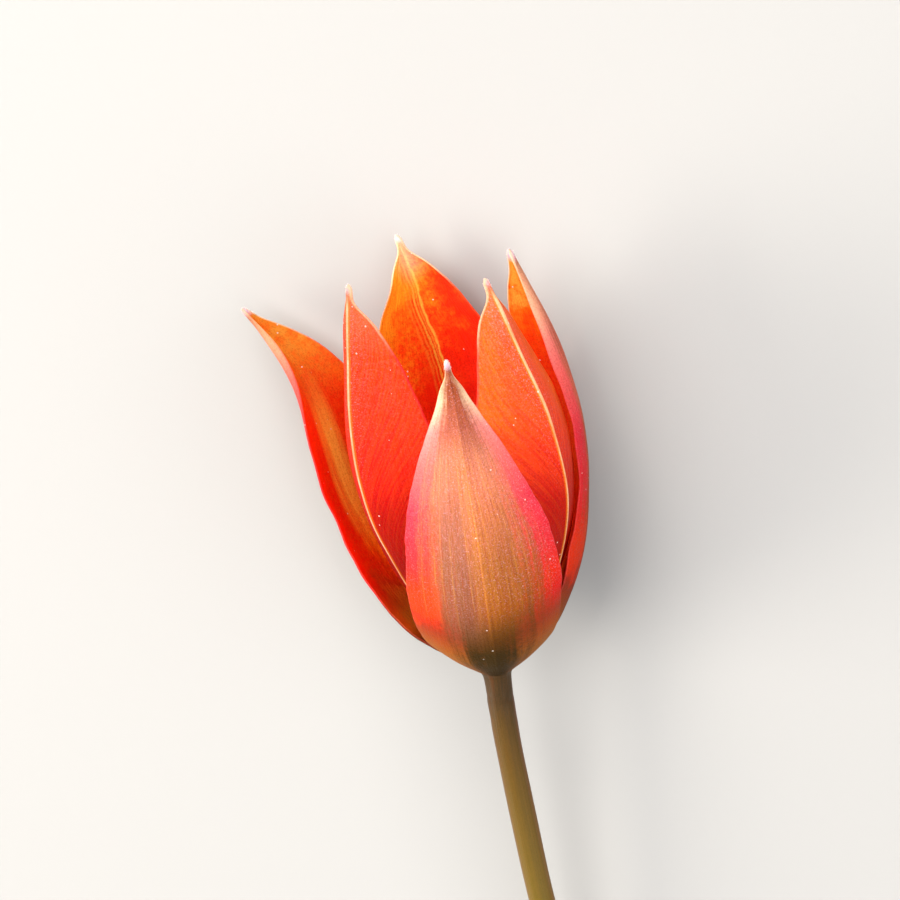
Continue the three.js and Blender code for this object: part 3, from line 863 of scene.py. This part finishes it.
def inner_face(tree, places, marks):
    """Inside of an inner tepal: orange towards the tip, and towards one side as painted glow of light
    shining through, pure red below, with yellow streaks by the rib."""
    way = places["Along"]
    # The colour leans across the width so that one side is more orange: painted glow of light shining
    # through that side.
    leaning_to_glow = clouded(tree, places, marks, scaled(tree, places["Across"], 0.18, way), 0.14)
    colour = ramp(tree, leaning_to_glow, INNER_FACE_COLOURS)
    speckle = times(tree, marks["mottle"], mask(tree, leaning_to_glow, 0.6, 0.95))
    colour = tint(tree, colour, "golden orange", speckle, strength=0.55)
    colour = tint(tree, colour, "red", marks["lines"], strength=0.3)

    reach = times(tree, mask(tree, way, 0.35, 0.7), mask(tree, way, 0.99, 0.93))
    wandering = scaled(tree, marks["clouds"], 0.24, places["Off rib"])
    for offset, strength, width in RIB_STREAKS:
        off = size_of(tree, calc(tree, "SUBTRACT", wandering, offset))
        streak = times(tree, mask(tree, off, width, RIB_STREAK_CORE), reach)
        colour = tint(tree, colour, "gold", streak, strength)

    near_tip = scaled(tree, size_of(tree, places["Across"]), -0.05, way)
    colour = tint(tree, colour, "cream", mask(tree, near_tip, 0.86, 0.96), strength=0.55)
    colour = tint(tree, colour, "nub", mask(tree, way, 0.978, 0.992))
    return margin_line(tree, places, colour, "salmon")


# Skin of stem, stamens and pistil

def plain_tissue(name, colour_of, roughness, cell_size, cloud_size, relief):
    """A material without a blade's marks: colour_of(tree, skin) gives its colour and its height."""
    material, tree = new_material(name)
    skin = use(tree, TISSUE, {"Cell size": cell_size, "Cloud size": cloud_size})
    colour, height = colour_of(tree, skin)
    bumps = put(tree, "Bump", {"Strength": 0.6, "Distance": relief * MM, "Height": height}).outputs[0]
    face = put(tree, "BsdfPrincipled", {
        "Base Color": colour, "Roughness": scaled(tree, skin["Cells"], 0.18, roughness), "Normal": bumps,
        "IOR": 1.4, "Specular IOR Level": 0.24, "Sheen Weight": 0.04,
    })
    put(tree, "OutputMaterial", {0: face.outputs[0]})
    return material


def stem_skin():
    """Olive brown flushed with pink under the flower, greener towards the cut, finely striped."""
    def colour_of(tree, skin):
        """The stem's colour and the height of its stripes."""
        place = uv_map(tree, "share")
        colour = ramp(tree, place[1], STEM_COLOURS)
        turn = times(tree, place[0], 2 * math.pi)
        x, y = [times(tree, calc(tree, side, turn), 12.0) for side in ("SINE", "COSINE")]
        stripes = pattern(tree, vector_of(tree, x, y, times(tree, place[1], 9.0)), 1.0, 2.0)
        stripes = mask(tree, stripes, 0.35, 0.65)
        colour = tint(tree, colour, "umber", stripes, strength=0.1)
        round_it = vector_of(tree, calc(tree, "SINE", turn), calc(tree, "COSINE", turn), place[1])
        blush = mask(tree, pattern(tree, round_it, 1.0), 0.45, 0.7)
        colour = tint(tree, colour, "rust", blush, strength=0.11)
        colour = tint(tree, colour, "tan", skin["Cells"], strength=0.04)
        return colour, scaled(tree, skin["Cells"], 0.3, times(tree, stripes, 0.6))
    return plain_tissue("stem skin", colour_of, roughness=0.4, cell_size=0.14, cloud_size=5.0, relief=0.05)


def stem_cut():
    """The cut end: pale wet pith with darker dots of its bundles."""
    def colour_of(tree, skin):
        """The pith's colour and the height of its bundles."""
        place = put(tree, "TexCoord").outputs["Object"]
        bundles = put(tree, "TexVoronoi", {"Vector": place, "Scale": 1 / (0.38 * MM)}, feature="F1")
        dots = mask(tree, bundles.outputs["Distance"], 0.34, 0.2)
        colour = tint(tree, paint("cream"), "olive", skin["Clouds"], strength=0.4)
        colour = tint(tree, colour, "olive", dots, strength=0.55)
        return colour, calc(tree, "ADD", times(tree, dots, 0.5), skin["Cells"])
    return plain_tissue("stem cut", colour_of, roughness=0.3, cell_size=0.12, cloud_size=1.2, relief=0.05)


def coloured_tissue(name, low, high, fleck, roughness, cell_size, relief):
    """A small organ's skin: one paint clouded with another and flecked with a third."""
    def colour_of(tree, skin):
        """The organ's colour and the height of its cells."""
        colour = tint(tree, paint(low), high, skin["Clouds"])
        return tint(tree, colour, fleck, skin["Cells"], strength=0.4), skin["Cells"]
    return plain_tissue(name, colour_of, roughness, cell_size, cloud_size=1.4, relief=relief)


# Tepals

def rib_point(form, t):
    """The rib of a tepal, whose foot turns in to its seat."""
    angle = math.radians(form["around"])
    radial = Vector((math.cos(angle), math.sin(angle), 0))
    round_way = Vector((-math.sin(angle), math.cos(angle), 0))
    turned_in = max(0.0, 1 - t / ROOT_SHARE) ** 2
    out = along([form["base"][0]] + form["out"], t) - ROOT_DEPTH * turned_in
    up = along([form["base"][1]] + form["up"], t) - ROOT_DROP * turned_in
    return radial * out + round_way * along(form.get("sway", [0, 0]), t) + Vector((0, 0, up))


def tepal_row(form, t, seed):
    """What the points across a tepal at one station need."""
    angle = math.radians(form["around"])
    round_way = Vector((-math.sin(angle), math.cos(angle), 0))
    tangent = (rib_point(form, min(t + RIB_PROBE, 1)) - rib_point(form, max(t - RIB_PROBE, 0))).normalized()
    outward = round_way.cross(tangent).normalized()
    side = tangent.cross(outward)
    twist = math.radians(along(form.get("twist", [0, 0]), t))
    nub = NUB_LENGTH / form["up"][-1]
    past = max(0.0, (t - 1 + nub) / nub)
    tip_round = math.sqrt(max(0.0, 1 - past * past))
    halves = {}
    for sign, key, beak in ((1, "narrow_plus", form["beaks"][0]), (-1, "narrow_minus", form["beaks"][1])):
        half = form["half"] * along(form["outline"], t) * (1 - along(form.get(key, [0, 0]), t))
        half *= 1 - beak * hump(t - BEAK_PLACE, BEAK_SPREAD)
        waver = 1 + WAVER * blade_noise(WAVER_RATES, t, sign, seed)
        halves[sign] = max(half * waver, LEAST_HALF_WIDTH) * tip_round
    return {
        "t": t, "rib": rib_point(form, t), "tip_round": tip_round, "halves": halves,
        "sideways": side * math.cos(twist) - outward * math.sin(twist),
        "away": outward * math.cos(twist) + side * math.sin(twist),
    }


def half_section(form, row, sign, shares):
    """Points of one half of a tepal's middle surface at one station, from the rib out to the margin.
    The half leaves the rib at the keel angle, bends evenly inwards by the curl, and its margin may roll."""
    t, half = row["t"], row["halves"][sign]
    which = "plus" if sign > 0 else "minus"
    keel = math.radians(along(form["keel"], t))
    curl = math.radians(along(form["curl"], t) + sign * along(form.get("skew", [0, 0]), t))
    roll = math.radians(along(form.get("roll_" + which, [0, 0]), t))
    soft = form.get("soft_" + which, 0.0)
    points = [row["rib"]]
    for near, far in zip(shares, shares[1:]):
        share = (near + far) / 2
        angle = curl * share + roll * step_up(ROLL_FROM, 1.0, share)
        angle += keel * (step_up(0.0, soft, share * half) if soft else 1.0)
        run = (far - near) * half
        step = row["sideways"] * (sign * run * math.cos(angle)) - row["away"] * (run * math.sin(angle))
        points.append(points[-1] + step)
    return points


def tepal(name, form, materials, seed):
    """One tepal as a closed blade: its outer face on the first half of the columns, its inner face
    on the second, and its margins and tip rounded between them."""
    stations = [1 - (1 - i / LENGTH_STEPS) ** TIP_CROWDING for i in range(LENGTH_STEPS + 1)]
    rows = [tepal_row(form, t, seed) for t in stations]
    evenly = [k / (FACE_STEPS // 2) for k in range(FACE_STEPS // 2 + 1)]
    crowding = (1 - COLUMN_EVENNESS) / 2
    half_shares = [COLUMN_EVENNESS * s + crowding * (1 - math.cos(math.pi * s)) for s in evenly]
    shares = [-s for s in reversed(half_shares[1:])] + half_shares
    middle = []
    for row in rows:
        minus, plus = (half_section(form, row, sign, half_shares) for sign in (-1, 1))
        middle.append(minus[:0:-1] + plus)

    def normal(i, j):
        """The way a blade's middle surface faces."""
        across = middle[i][min(j + 1, FACE_STEPS)] - middle[i][max(j - 1, 0)]
        lengthwise = middle[min(i + 1, LENGTH_STEPS - 1)][j] - middle[max(i - 1, 0)][j]
        return across.cross(lengthwise).normalized()

    def thickness(row, q, from_margin):
        """Half the blade's thickness, rounded off at its margins, its foot and its tip."""
        thinner = (RIB_HALF_THICKNESS - MARGIN_HALF_THICKNESS) * step_up(*BLADE_THINS, abs(q))
        body = RIB_HALF_THICKNESS - thinner
        thick = body + (NUB_HALF_THICKNESS - body) * step_up(*NUB_SWELLS, row["t"])
        edge = max(0.0, 1 - from_margin / max(MARGIN_ROUNDING, thick))
        return thick * (math.sqrt(1 - edge * edge) * row["tip_round"] * step_up(*FOOT_OPENS, row["t"]))

    def skins(i, j):
        """The outer and the inner point at a row and a share of the width."""
        row, q = rows[i], shares[j]
        t = row["t"]
        half = row["halves"][1 if q > 0 else -1]
        from_rib, from_margin = abs(q) * half, (1 - abs(q)) * half
        straight = normal(min(i, LENGTH_STEPS - 2), j)
        thick = thickness(row, q, from_margin)
        fade = step_up(*RIB_STARTS, t) * (1 - step_up(*RIB_ENDS, t))
        ridge = form["ridge"] * hump(from_rib, RIDGE_WIDTH) * fade
        groove = GROOVE_DEPTH * hump(from_rib, GROOVE_WIDTH) * fade
        veins = VEIN_HEIGHT * math.cos(q * VEIN_TURNS + seed) * fade * (1 - step_up(*VEINS_END, abs(q)))
        swell = SWELL * blade_noise(SWELL_RATES, t, q, seed) * step_up(*SWELL_STARTS, t)
        ripple = RIPPLE * blade_noise(RIPPLE_RATES, t, q, seed) * abs(q) ** 3 * step_up(*RIPPLE_STARTS, t)
        moved = middle[i][j] + straight * (swell + ripple) * (1 - step_up(*SWELL_ENDS, t))
        outer = LAY_DOWN @ (moved + straight * (thick + ridge + veins))
        inner = LAY_DOWN @ (moved - straight * (thick - groove * row["tip_round"] - veins))
        lift = max(0.0, -outer.z, -inner.z)
        return outer + Vector((0, 0, lift)), inner + Vector((0, 0, lift))

    pairs = [[skins(i, j) for j in range(FACE_STEPS + 1)] for i in range(LENGTH_STEPS + 1)]
    tip = sum((pairs[-1][j][0] for j in range(FACE_STEPS + 1)), Vector()) / (FACE_STEPS + 1)

    def share_column(column):
        """The column of the width that lies under a column of the closed blade."""
        return column if column <= FACE_STEPS else 2 * FACE_STEPS - column

    def place(column, i):
        """The point at a column and a row of the closed blade."""
        if i == LENGTH_STEPS:
            return tip
        j = share_column(column)
        outer, inner = pairs[i][j]
        if j in (0, FACE_STEPS):
            return (outer + inner) / 2
        return outer if column <= FACE_STEPS else inner

    def share_map(column, i):
        """Shares of the way across and along."""
        return (shares[share_column(column)] + 1) / 2, rows[i]["t"]

    def measured_map(column, i):
        """Millimetres off the rib and from the nearer margin."""
        q = shares[share_column(column)]
        half = rows[i]["halves"][1 if q > 0 else -1]
        return q * half, (1 - abs(q)) * half

    piece = closed_piece(name + "_blade", 2 * FACE_STEPS, LENGTH_STEPS, place, materials,
                         {"share": share_map, "measured": measured_map},
                         lambda column, row: 0 if column < FACE_STEPS else 1)
    add_to(piece, tip_hairs(pairs, rows, seed), 2)
    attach(piece, "root")
    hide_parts(name)


def tip_hairs(pairs, rows, seed):
    """Minute pale hairs on the nub of a tepal."""
    draw = random.Random(f"tip {seed}")
    bm = bmesh.new()
    near_tip = [i for i in range(LENGTH_STEPS - 1) if rows[i]["t"] > HAIRY_FROM]
    for _ in range(HAIRS_PER_TIP):
        i, j = draw.choice(near_tip), draw.randrange(FACE_STEPS + 1)
        root = pairs[i][j][draw.randrange(2)]
        core = sum(pairs[i][FACE_STEPS // 2], Vector()) / 2
        forward = (sum(pairs[i + 1][FACE_STEPS // 2], Vector()) / 2 - core).normalized()
        way = ((root - core).normalized() + forward * draw.uniform(*TIP_HAIR_RISES)).normalized()
        length = draw.uniform(*TIP_HAIR_LENGTHS)
        if (root + way * length).z >= 0:
            add_hair(bm, root + way * length / 2, way, length, TIP_HAIR_RADII)
    return bm


# Stem

def stem():
    """The stem, its cut end and the swollen seat that carries the tepals, in one skin."""
    stations = [FLOWER_BASE + Vector(point) for point in STEM_LINE]
    stations += [FLOWER_BASE - FLOWER_AXIS * NECK_DEPTH, FLOWER_BASE - FLOWER_AXIS * NECK_DEPTH / 2]
    last_row = CUT_ROWS + SHAFT_ROWS + SEAT_ROWS

    def centre(way):
        """The stem's line at a share of its length."""
        return Vector([along([station[k] for station in stations], way) for k in range(3)])

    def line(row):
        """Centre, direction and radius for a row, and its share of the way up the shaft."""
        if row <= CUT_ROWS + SHAFT_ROWS:
            way = max(0, row - CUT_ROWS) / SHAFT_ROWS
            direction = (centre(min(way + STEM_PROBE, 1)) - centre(max(way - STEM_PROBE, 0))).normalized()
            radius = STEM_FOOT_RADIUS + (STEM_RADIUS - STEM_FOOT_RADIUS) * min(1, way * 2)
            return centre(way), direction, radius, way
        rise = (row - CUT_ROWS - SHAFT_ROWS) / SEAT_ROWS
        up = -NECK_DEPTH / 2 + (SEAT_TOP + NECK_DEPTH / 2) * rise
        radius = along(SEAT_RADII, rise) if row < last_row else 0.0
        return FLOWER_BASE + FLOWER_AXIS * up, FLOWER_AXIS, radius, 1.0

    lines = [line(row) for row in range(last_row + 1)]

    def place(column, row):
        """The point at a column and a row of the stem's skin."""
        middle, direction, radius, way = lines[row]
        second = direction.cross(Vector((1, 0, 0))).normalized()
        first = second.cross(direction).normalized()
        angle = 2 * math.pi * (column % STEM_TURNS) / STEM_TURNS
        rough = STEM_UNEVENNESS * round_noise(angle, 1.4, way * 14)
        ribs = STEM_RIB_HEIGHT * math.cos(STEM_RIBS * angle + STEM_RIB_TWIST * way)
        reach = radius * (1 + rough + ribs)
        if row < CUT_ROWS:
            shrink = row / CUT_ROWS
            reach = STEM_FOOT_RADIUS * shrink * (1 + (rough + ribs) * shrink)
        point = middle + first * reach * math.cos(angle) + second * reach * math.sin(angle)
        if row <= CUT_ROWS:
            slant = -CUT_SLANT * math.cos(angle) * reach / STEM_FOOT_RADIUS
            dish = CUT_DISH * (1 - (reach / STEM_FOOT_RADIUS) ** 2)
            point += direction * (slant + dish)
        point.z = max(point.z, 0.0)
        return point

    def share_map(column, row):
        """Shares of the way round and along."""
        return column / STEM_TURNS, row / last_row

    piece = closed_piece("stem_and_seat", STEM_TURNS, last_row, place, [stem_skin(), stem_cut()],
                         {"share": share_map}, lambda column, row: 1 if row < CUT_ROWS - 1 else 0)
    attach(piece, "root")
    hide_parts("stem")


# Stamens and pistil

def small_body(name, node, material, mesh_steps, centre, direction, first, radius_at):
    """A closed body round a line: centre(share) and direction(share) give the line, first a side of it,
    and radius_at(angle, share) its surface. The mesh has steps round the line and along it."""
    turns, steps = mesh_steps

    def place(column, row):
        """The point at a column and a row of the body."""
        share = row / steps
        angle = 2 * math.pi * (column % turns) / turns
        forward = direction(share)
        second = forward.cross(first).normalized()
        side = second.cross(forward).normalized()
        reach = 0.0 if row in (0, steps) else radius_at(angle, share)
        point = centre(share) + side * reach * math.cos(angle) + second * reach * math.sin(angle)
        return LAY_DOWN @ point

    piece = closed_piece(name, turns, steps, place, [material])
    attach(piece, "root")
    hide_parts(node)
    return piece


def end_rounding(share, low, high):
    """How far a body has opened out of its rounded ends."""
    opening, closing = min(1.0, share / low), min(1.0, (1 - share) / high)
    return math.sqrt(max(0.0, 1 - (1 - opening) ** 2)) * math.sqrt(max(0.0, 1 - (1 - closing) ** 2))


def seam(value, depth_and_width):
    """How deep a surface is drawn in, from a value that is 0 along the seam."""
    depth, width = depth_and_width
    return depth * hump(value, width)


def stamens(filament_skin, anther_skin):
    """Six stamens in a ring, each a hairy filament and an anther dusted with pollen."""
    draw = random.Random(SEED)
    for index in range(STAMEN_COUNT):
        angle = (index + 0.5) / STAMEN_COUNT * 2 * math.pi + TURN_VARIETY * math.sin(2.3 * index)
        radial = Vector((math.cos(angle), math.sin(angle), 0))
        round_way = Vector((-math.sin(angle), math.cos(angle), 0))
        length = FILAMENT_LENGTH * (1 + LENGTH_VARIETY * math.sin(1.7 * index + 0.6))
        lean = STAMEN_LEAN + LEAN_VARIETY * math.cos(2.9 * index)

        def at(s):
            """The filament's line at a share of its length."""
            height = SEAT_TOP - JOIN_GAP + (length + 2 * JOIN_GAP) * s
            return radial * (STAMEN_RING + lean * math.sin(s * math.pi / 2)) + Vector((0, 0, height))

        def direction(s):
            """The way the filament points there."""
            return (at(min(s + STAMEN_PROBE, 1)) - at(max(s - STAMEN_PROBE, 0))).normalized()

        def filament_radius(turn, s):
            """How far the filament reaches from its line."""
            uneven = 1 + FILAMENT_UNEVENNESS * math.cos(5 * turn + 9 * s)
            return FILAMENT_RADIUS * along(FILAMENT_PROFILE, s) * end_rounding(s, 0.02, 0.05) * uneven

        filament = small_body(
            f"filament_stalk_{index + 1}", f"filament_{index + 1}", filament_skin,
            FILAMENT_STEPS, at, direction, round_way, filament_radius,
        )
        add_to(filament, filament_hairs(draw, at, round_way, radial))

        upward = direction(1)
        foot = at(1) - upward * ANTHER_SINK

        def spine(s):
            """The anther's line at a share of its length."""
            bow = radial * (ANTHER_BOW * math.sin(math.pi * s))
            return foot + upward * ((ANTHER_LENGTH + JOIN_GAP) * s) + bow

        def anther_radius(turn, s):
            """How far the anther reaches from its line."""
            oval = math.hypot(math.cos(turn) / ANTHER_HALF_WIDTH, math.sin(turn) / ANTHER_HALF_DEPTH)
            lobes = 1 - ANTHER_WAIST * math.sin(turn) ** 6 - seam(math.sin(turn), ANTHER_SEAM)
            grain = 1 + ANTHER_GRAIN * round_noise(turn, 6, s * 26 + index)
            return lobes * grain * along(ANTHER_PROFILE, s) * end_rounding(s, 0.06, 0.09) / oval

        anther = small_body(
            f"anther_lobes_{index + 1}", f"anther_{index + 1}", anther_skin,
            ANTHER_STEPS, spine, lambda s: upward, round_way, anther_radius,
        )
        add_to(anther, pollen(draw, spine, upward, round_way, anther_radius))


def filament_hairs(draw, at, first, second):
    """The tuft of pale hairs round the foot of a filament."""
    bm = bmesh.new()
    for _ in range(HAIRS_PER_FILAMENT):
        s = TUFT_START + TUFT_LENGTH * draw.random() ** 1.5
        turn = draw.uniform(0, 2 * math.pi)
        out = first * math.cos(turn) + second * math.sin(turn)
        root = at(s) + out * FILAMENT_RADIUS * FILAMENT_HAIR_ROOT
        way = (out + Vector((0, 0, draw.uniform(*FILAMENT_HAIR_RISES)))).normalized()
        length = draw.uniform(*FILAMENT_HAIR_LENGTHS)
        middle = LAY_DOWN @ (root + way * length / 2)
        add_hair(bm, middle, LAY_DOWN.to_3x3() @ way, length, FILAMENT_HAIR_RADII)
    return bm


def pollen(draw, spine, upward, first, radius_at):
    """Grains of pollen scattered over an anther."""
    bm = bmesh.new()
    second = upward.cross(first).normalized()
    for _ in range(GRAINS_PER_ANTHER):
        s = draw.uniform(*POLLEN_SPAN)
        turn = draw.uniform(0, 2 * math.pi)
        reach = radius_at(turn, s)
        spot = LAY_DOWN @ (spine(s) + first * reach * math.cos(turn) + second * reach * math.sin(turn))
        bmesh.ops.create_icosphere(bm, subdivisions=1, radius=draw.uniform(*GRAIN_RADII),
                                   matrix=Matrix.Translation(spot))
    return bm


def pistil(ovary_skin, stigma_skin):
    """A three-sided ovary and the three-lobed stigma on its top."""
    def upright(foot, height):
        """A line straight up the flower's axis."""
        return lambda s: Vector((0, 0, foot + height * s))

    def ovary_radius(turn, s):
        """How far the ovary reaches from the axis."""
        share = along(OVARY_PROFILE, s) * end_rounding(s, 0.03, 0.04)
        furrows = 1 + OVARY_SIDES * math.cos(3 * turn) - seam(math.cos(1.5 * turn), OVARY_SEAM)
        return OVARY_RADIUS * share * furrows

    def stigma_radius(turn, s):
        """How far the stigma reaches from the axis."""
        share = along(STIGMA_PROFILE, s) * end_rounding(s, 0.1, 0.45)
        papillae = 1 + STIGMA_PAPILLAE * round_noise(turn, 14, s * 20)
        cleft = 1 - seam(math.sin(1.5 * turn), STIGMA_CLEFT) * step_up(0.2, 0.5, s)
        return STIGMA_RADIUS * share * (1 + STIGMA_LOBES * math.cos(3 * turn)) * papillae * cleft

    axis, across = Vector((0, 0, 1)), Vector((1, 0, 0))
    body = upright(SEAT_TOP - OVARY_SINK, OVARY_LENGTH + OVARY_OVERLAP)
    small_body("ovary_body", "ovary", ovary_skin, OVARY_STEPS, body, lambda s: axis, across,
               ovary_radius)
    crown = upright(SEAT_TOP + OVARY_LENGTH + JOIN_GAP, STIGMA_HEIGHT + JOIN_GAP)
    small_body("stigma_lobes", "stigma", stigma_skin, STIGMA_STEPS, crown, lambda s: axis, across,
               stigma_radius)


# Studio

def floor():
    """A plain pale floor."""
    bm = bmesh.new()
    bmesh.ops.create_grid(bm, x_segments=1, y_segments=1, size=FLOOR_HALF_WIDTH)
    material, tree = new_material("floor")
    clouds = pattern(tree, put(tree, "TexCoord").outputs["Object"], FLOOR_CLOUD_RATE)
    tone = mix(tree, times(tree, clouds, FLOOR_CLOUDINESS), *FLOOR_TONES)
    finish = {"Base Color": tone, "Roughness": 0.8, "Specular IOR Level": 0.15}
    surface = put(tree, "BsdfPrincipled", finish)
    put(tree, "OutputMaterial", {0: surface.outputs[0]})
    piece = finished("floor", bm, [material])


def soft_light(name, place, size, power, colour):
    """A square soft light, aimed at the flower."""
    lamp = bpy.data.lights.new(name, "AREA")
    lamp.size = size
    lamp.energy = power
    lamp.color = colour
    made = bpy.data.objects.new(name, lamp)
    made.location = place
    aim = (LAY_DOWN @ Vector((0, 0, VIEW_HEIGHT))) * MM
    made.rotation_mode = "QUATERNION"
    made.rotation_quaternion = (aim - Vector(place)).to_track_quat("-Z", "Y")
    bpy.context.scene.collection.objects.link(made)


def studio():
    """Soft lights in a pale room, shown with plain colours."""
    for name, settings in LIGHTS.items():
        soft_light(name, *settings)
    world = bpy.data.worlds.new("studio")
    world.use_nodes = True
    world.node_tree.nodes["Background"].inputs["Color"].default_value = ROOM_COLOUR
    world.node_tree.nodes["Background"].inputs["Strength"].default_value = ROOM_LIGHT
    bpy.context.scene.world = world
    bpy.context.scene.view_settings.view_transform = "Standard"


def camera():
    """The photograph's view of the flower."""
    level = Vector((1, 0, 0))
    steep = Vector((0, math.sin(VIEW_ELEVATION), math.cos(VIEW_ELEVATION)))
    back = Vector((0, -math.cos(VIEW_ELEVATION), math.sin(VIEW_ELEVATION)))
    right = level * math.cos(VIEW_ROLL) - steep * math.sin(VIEW_ROLL)
    up = level * math.sin(VIEW_ROLL) + steep * math.cos(VIEW_ROLL)
    aim = Vector((0, 0, VIEW_HEIGHT)) + right * VIEW_SHIFT[0] + up * VIEW_SHIFT[1]
    lens = bpy.data.cameras.new("camera")
    lens.sensor_width = SENSOR
    lens.lens = SENSOR * PIXELS_PER_MM * VIEW_DISTANCE / PICTURE_PIXELS
    lens.clip_start = NEAREST_SEEN
    made = bpy.data.objects.new("camera", lens)
    turned = Matrix((right, up, back)).transposed().to_4x4()
    placed = LAY_DOWN @ Matrix.Translation(aim + back * VIEW_DISTANCE) @ turned
    made.rotation_mode = "QUATERNION"
    made.rotation_quaternion = placed.to_quaternion()
    made.location = placed.translation * MM
    bpy.context.scene.collection.objects.link(made)
    bpy.context.scene.camera = made


camera()
studio()
floor()

tip_hair = coloured_tissue("tip hair", "nub", "lilac", "white", 0.5, 0.1, 0.02)
for number, (name, form) in enumerate(TEPALS.items()):
    colourings = (outer_back, outer_face) if form["slot"] == "tepal_outer" else (inner_back, inner_face)
    skins = [
        tepal_material(f"{name} {side}", colourings[k], number * 1.7 + 0.8 * k, form["lets_through"][k],
                       form["wishes"][k])
        for k, side in enumerate(("back", "face"))
    ]
    tepal(name, form, skins + [tip_hair], number * 1.3 + 0.4)

stem()
stamens(
    coloured_tissue("filament skin", "near black", "olive brown", "olive", 0.5, 0.15, 0.04),
    coloured_tissue("anther skin", "olive", "dull gold", "gold", 0.75, 0.12, 0.08),
)
pistil(
    coloured_tissue("ovary skin", "green", "olive", "pale green", 0.42, 0.12, 0.04),
    coloured_tissue("stigma skin", "pale green", "dull gold", "cream", 0.6, 0.1, 0.06),
)
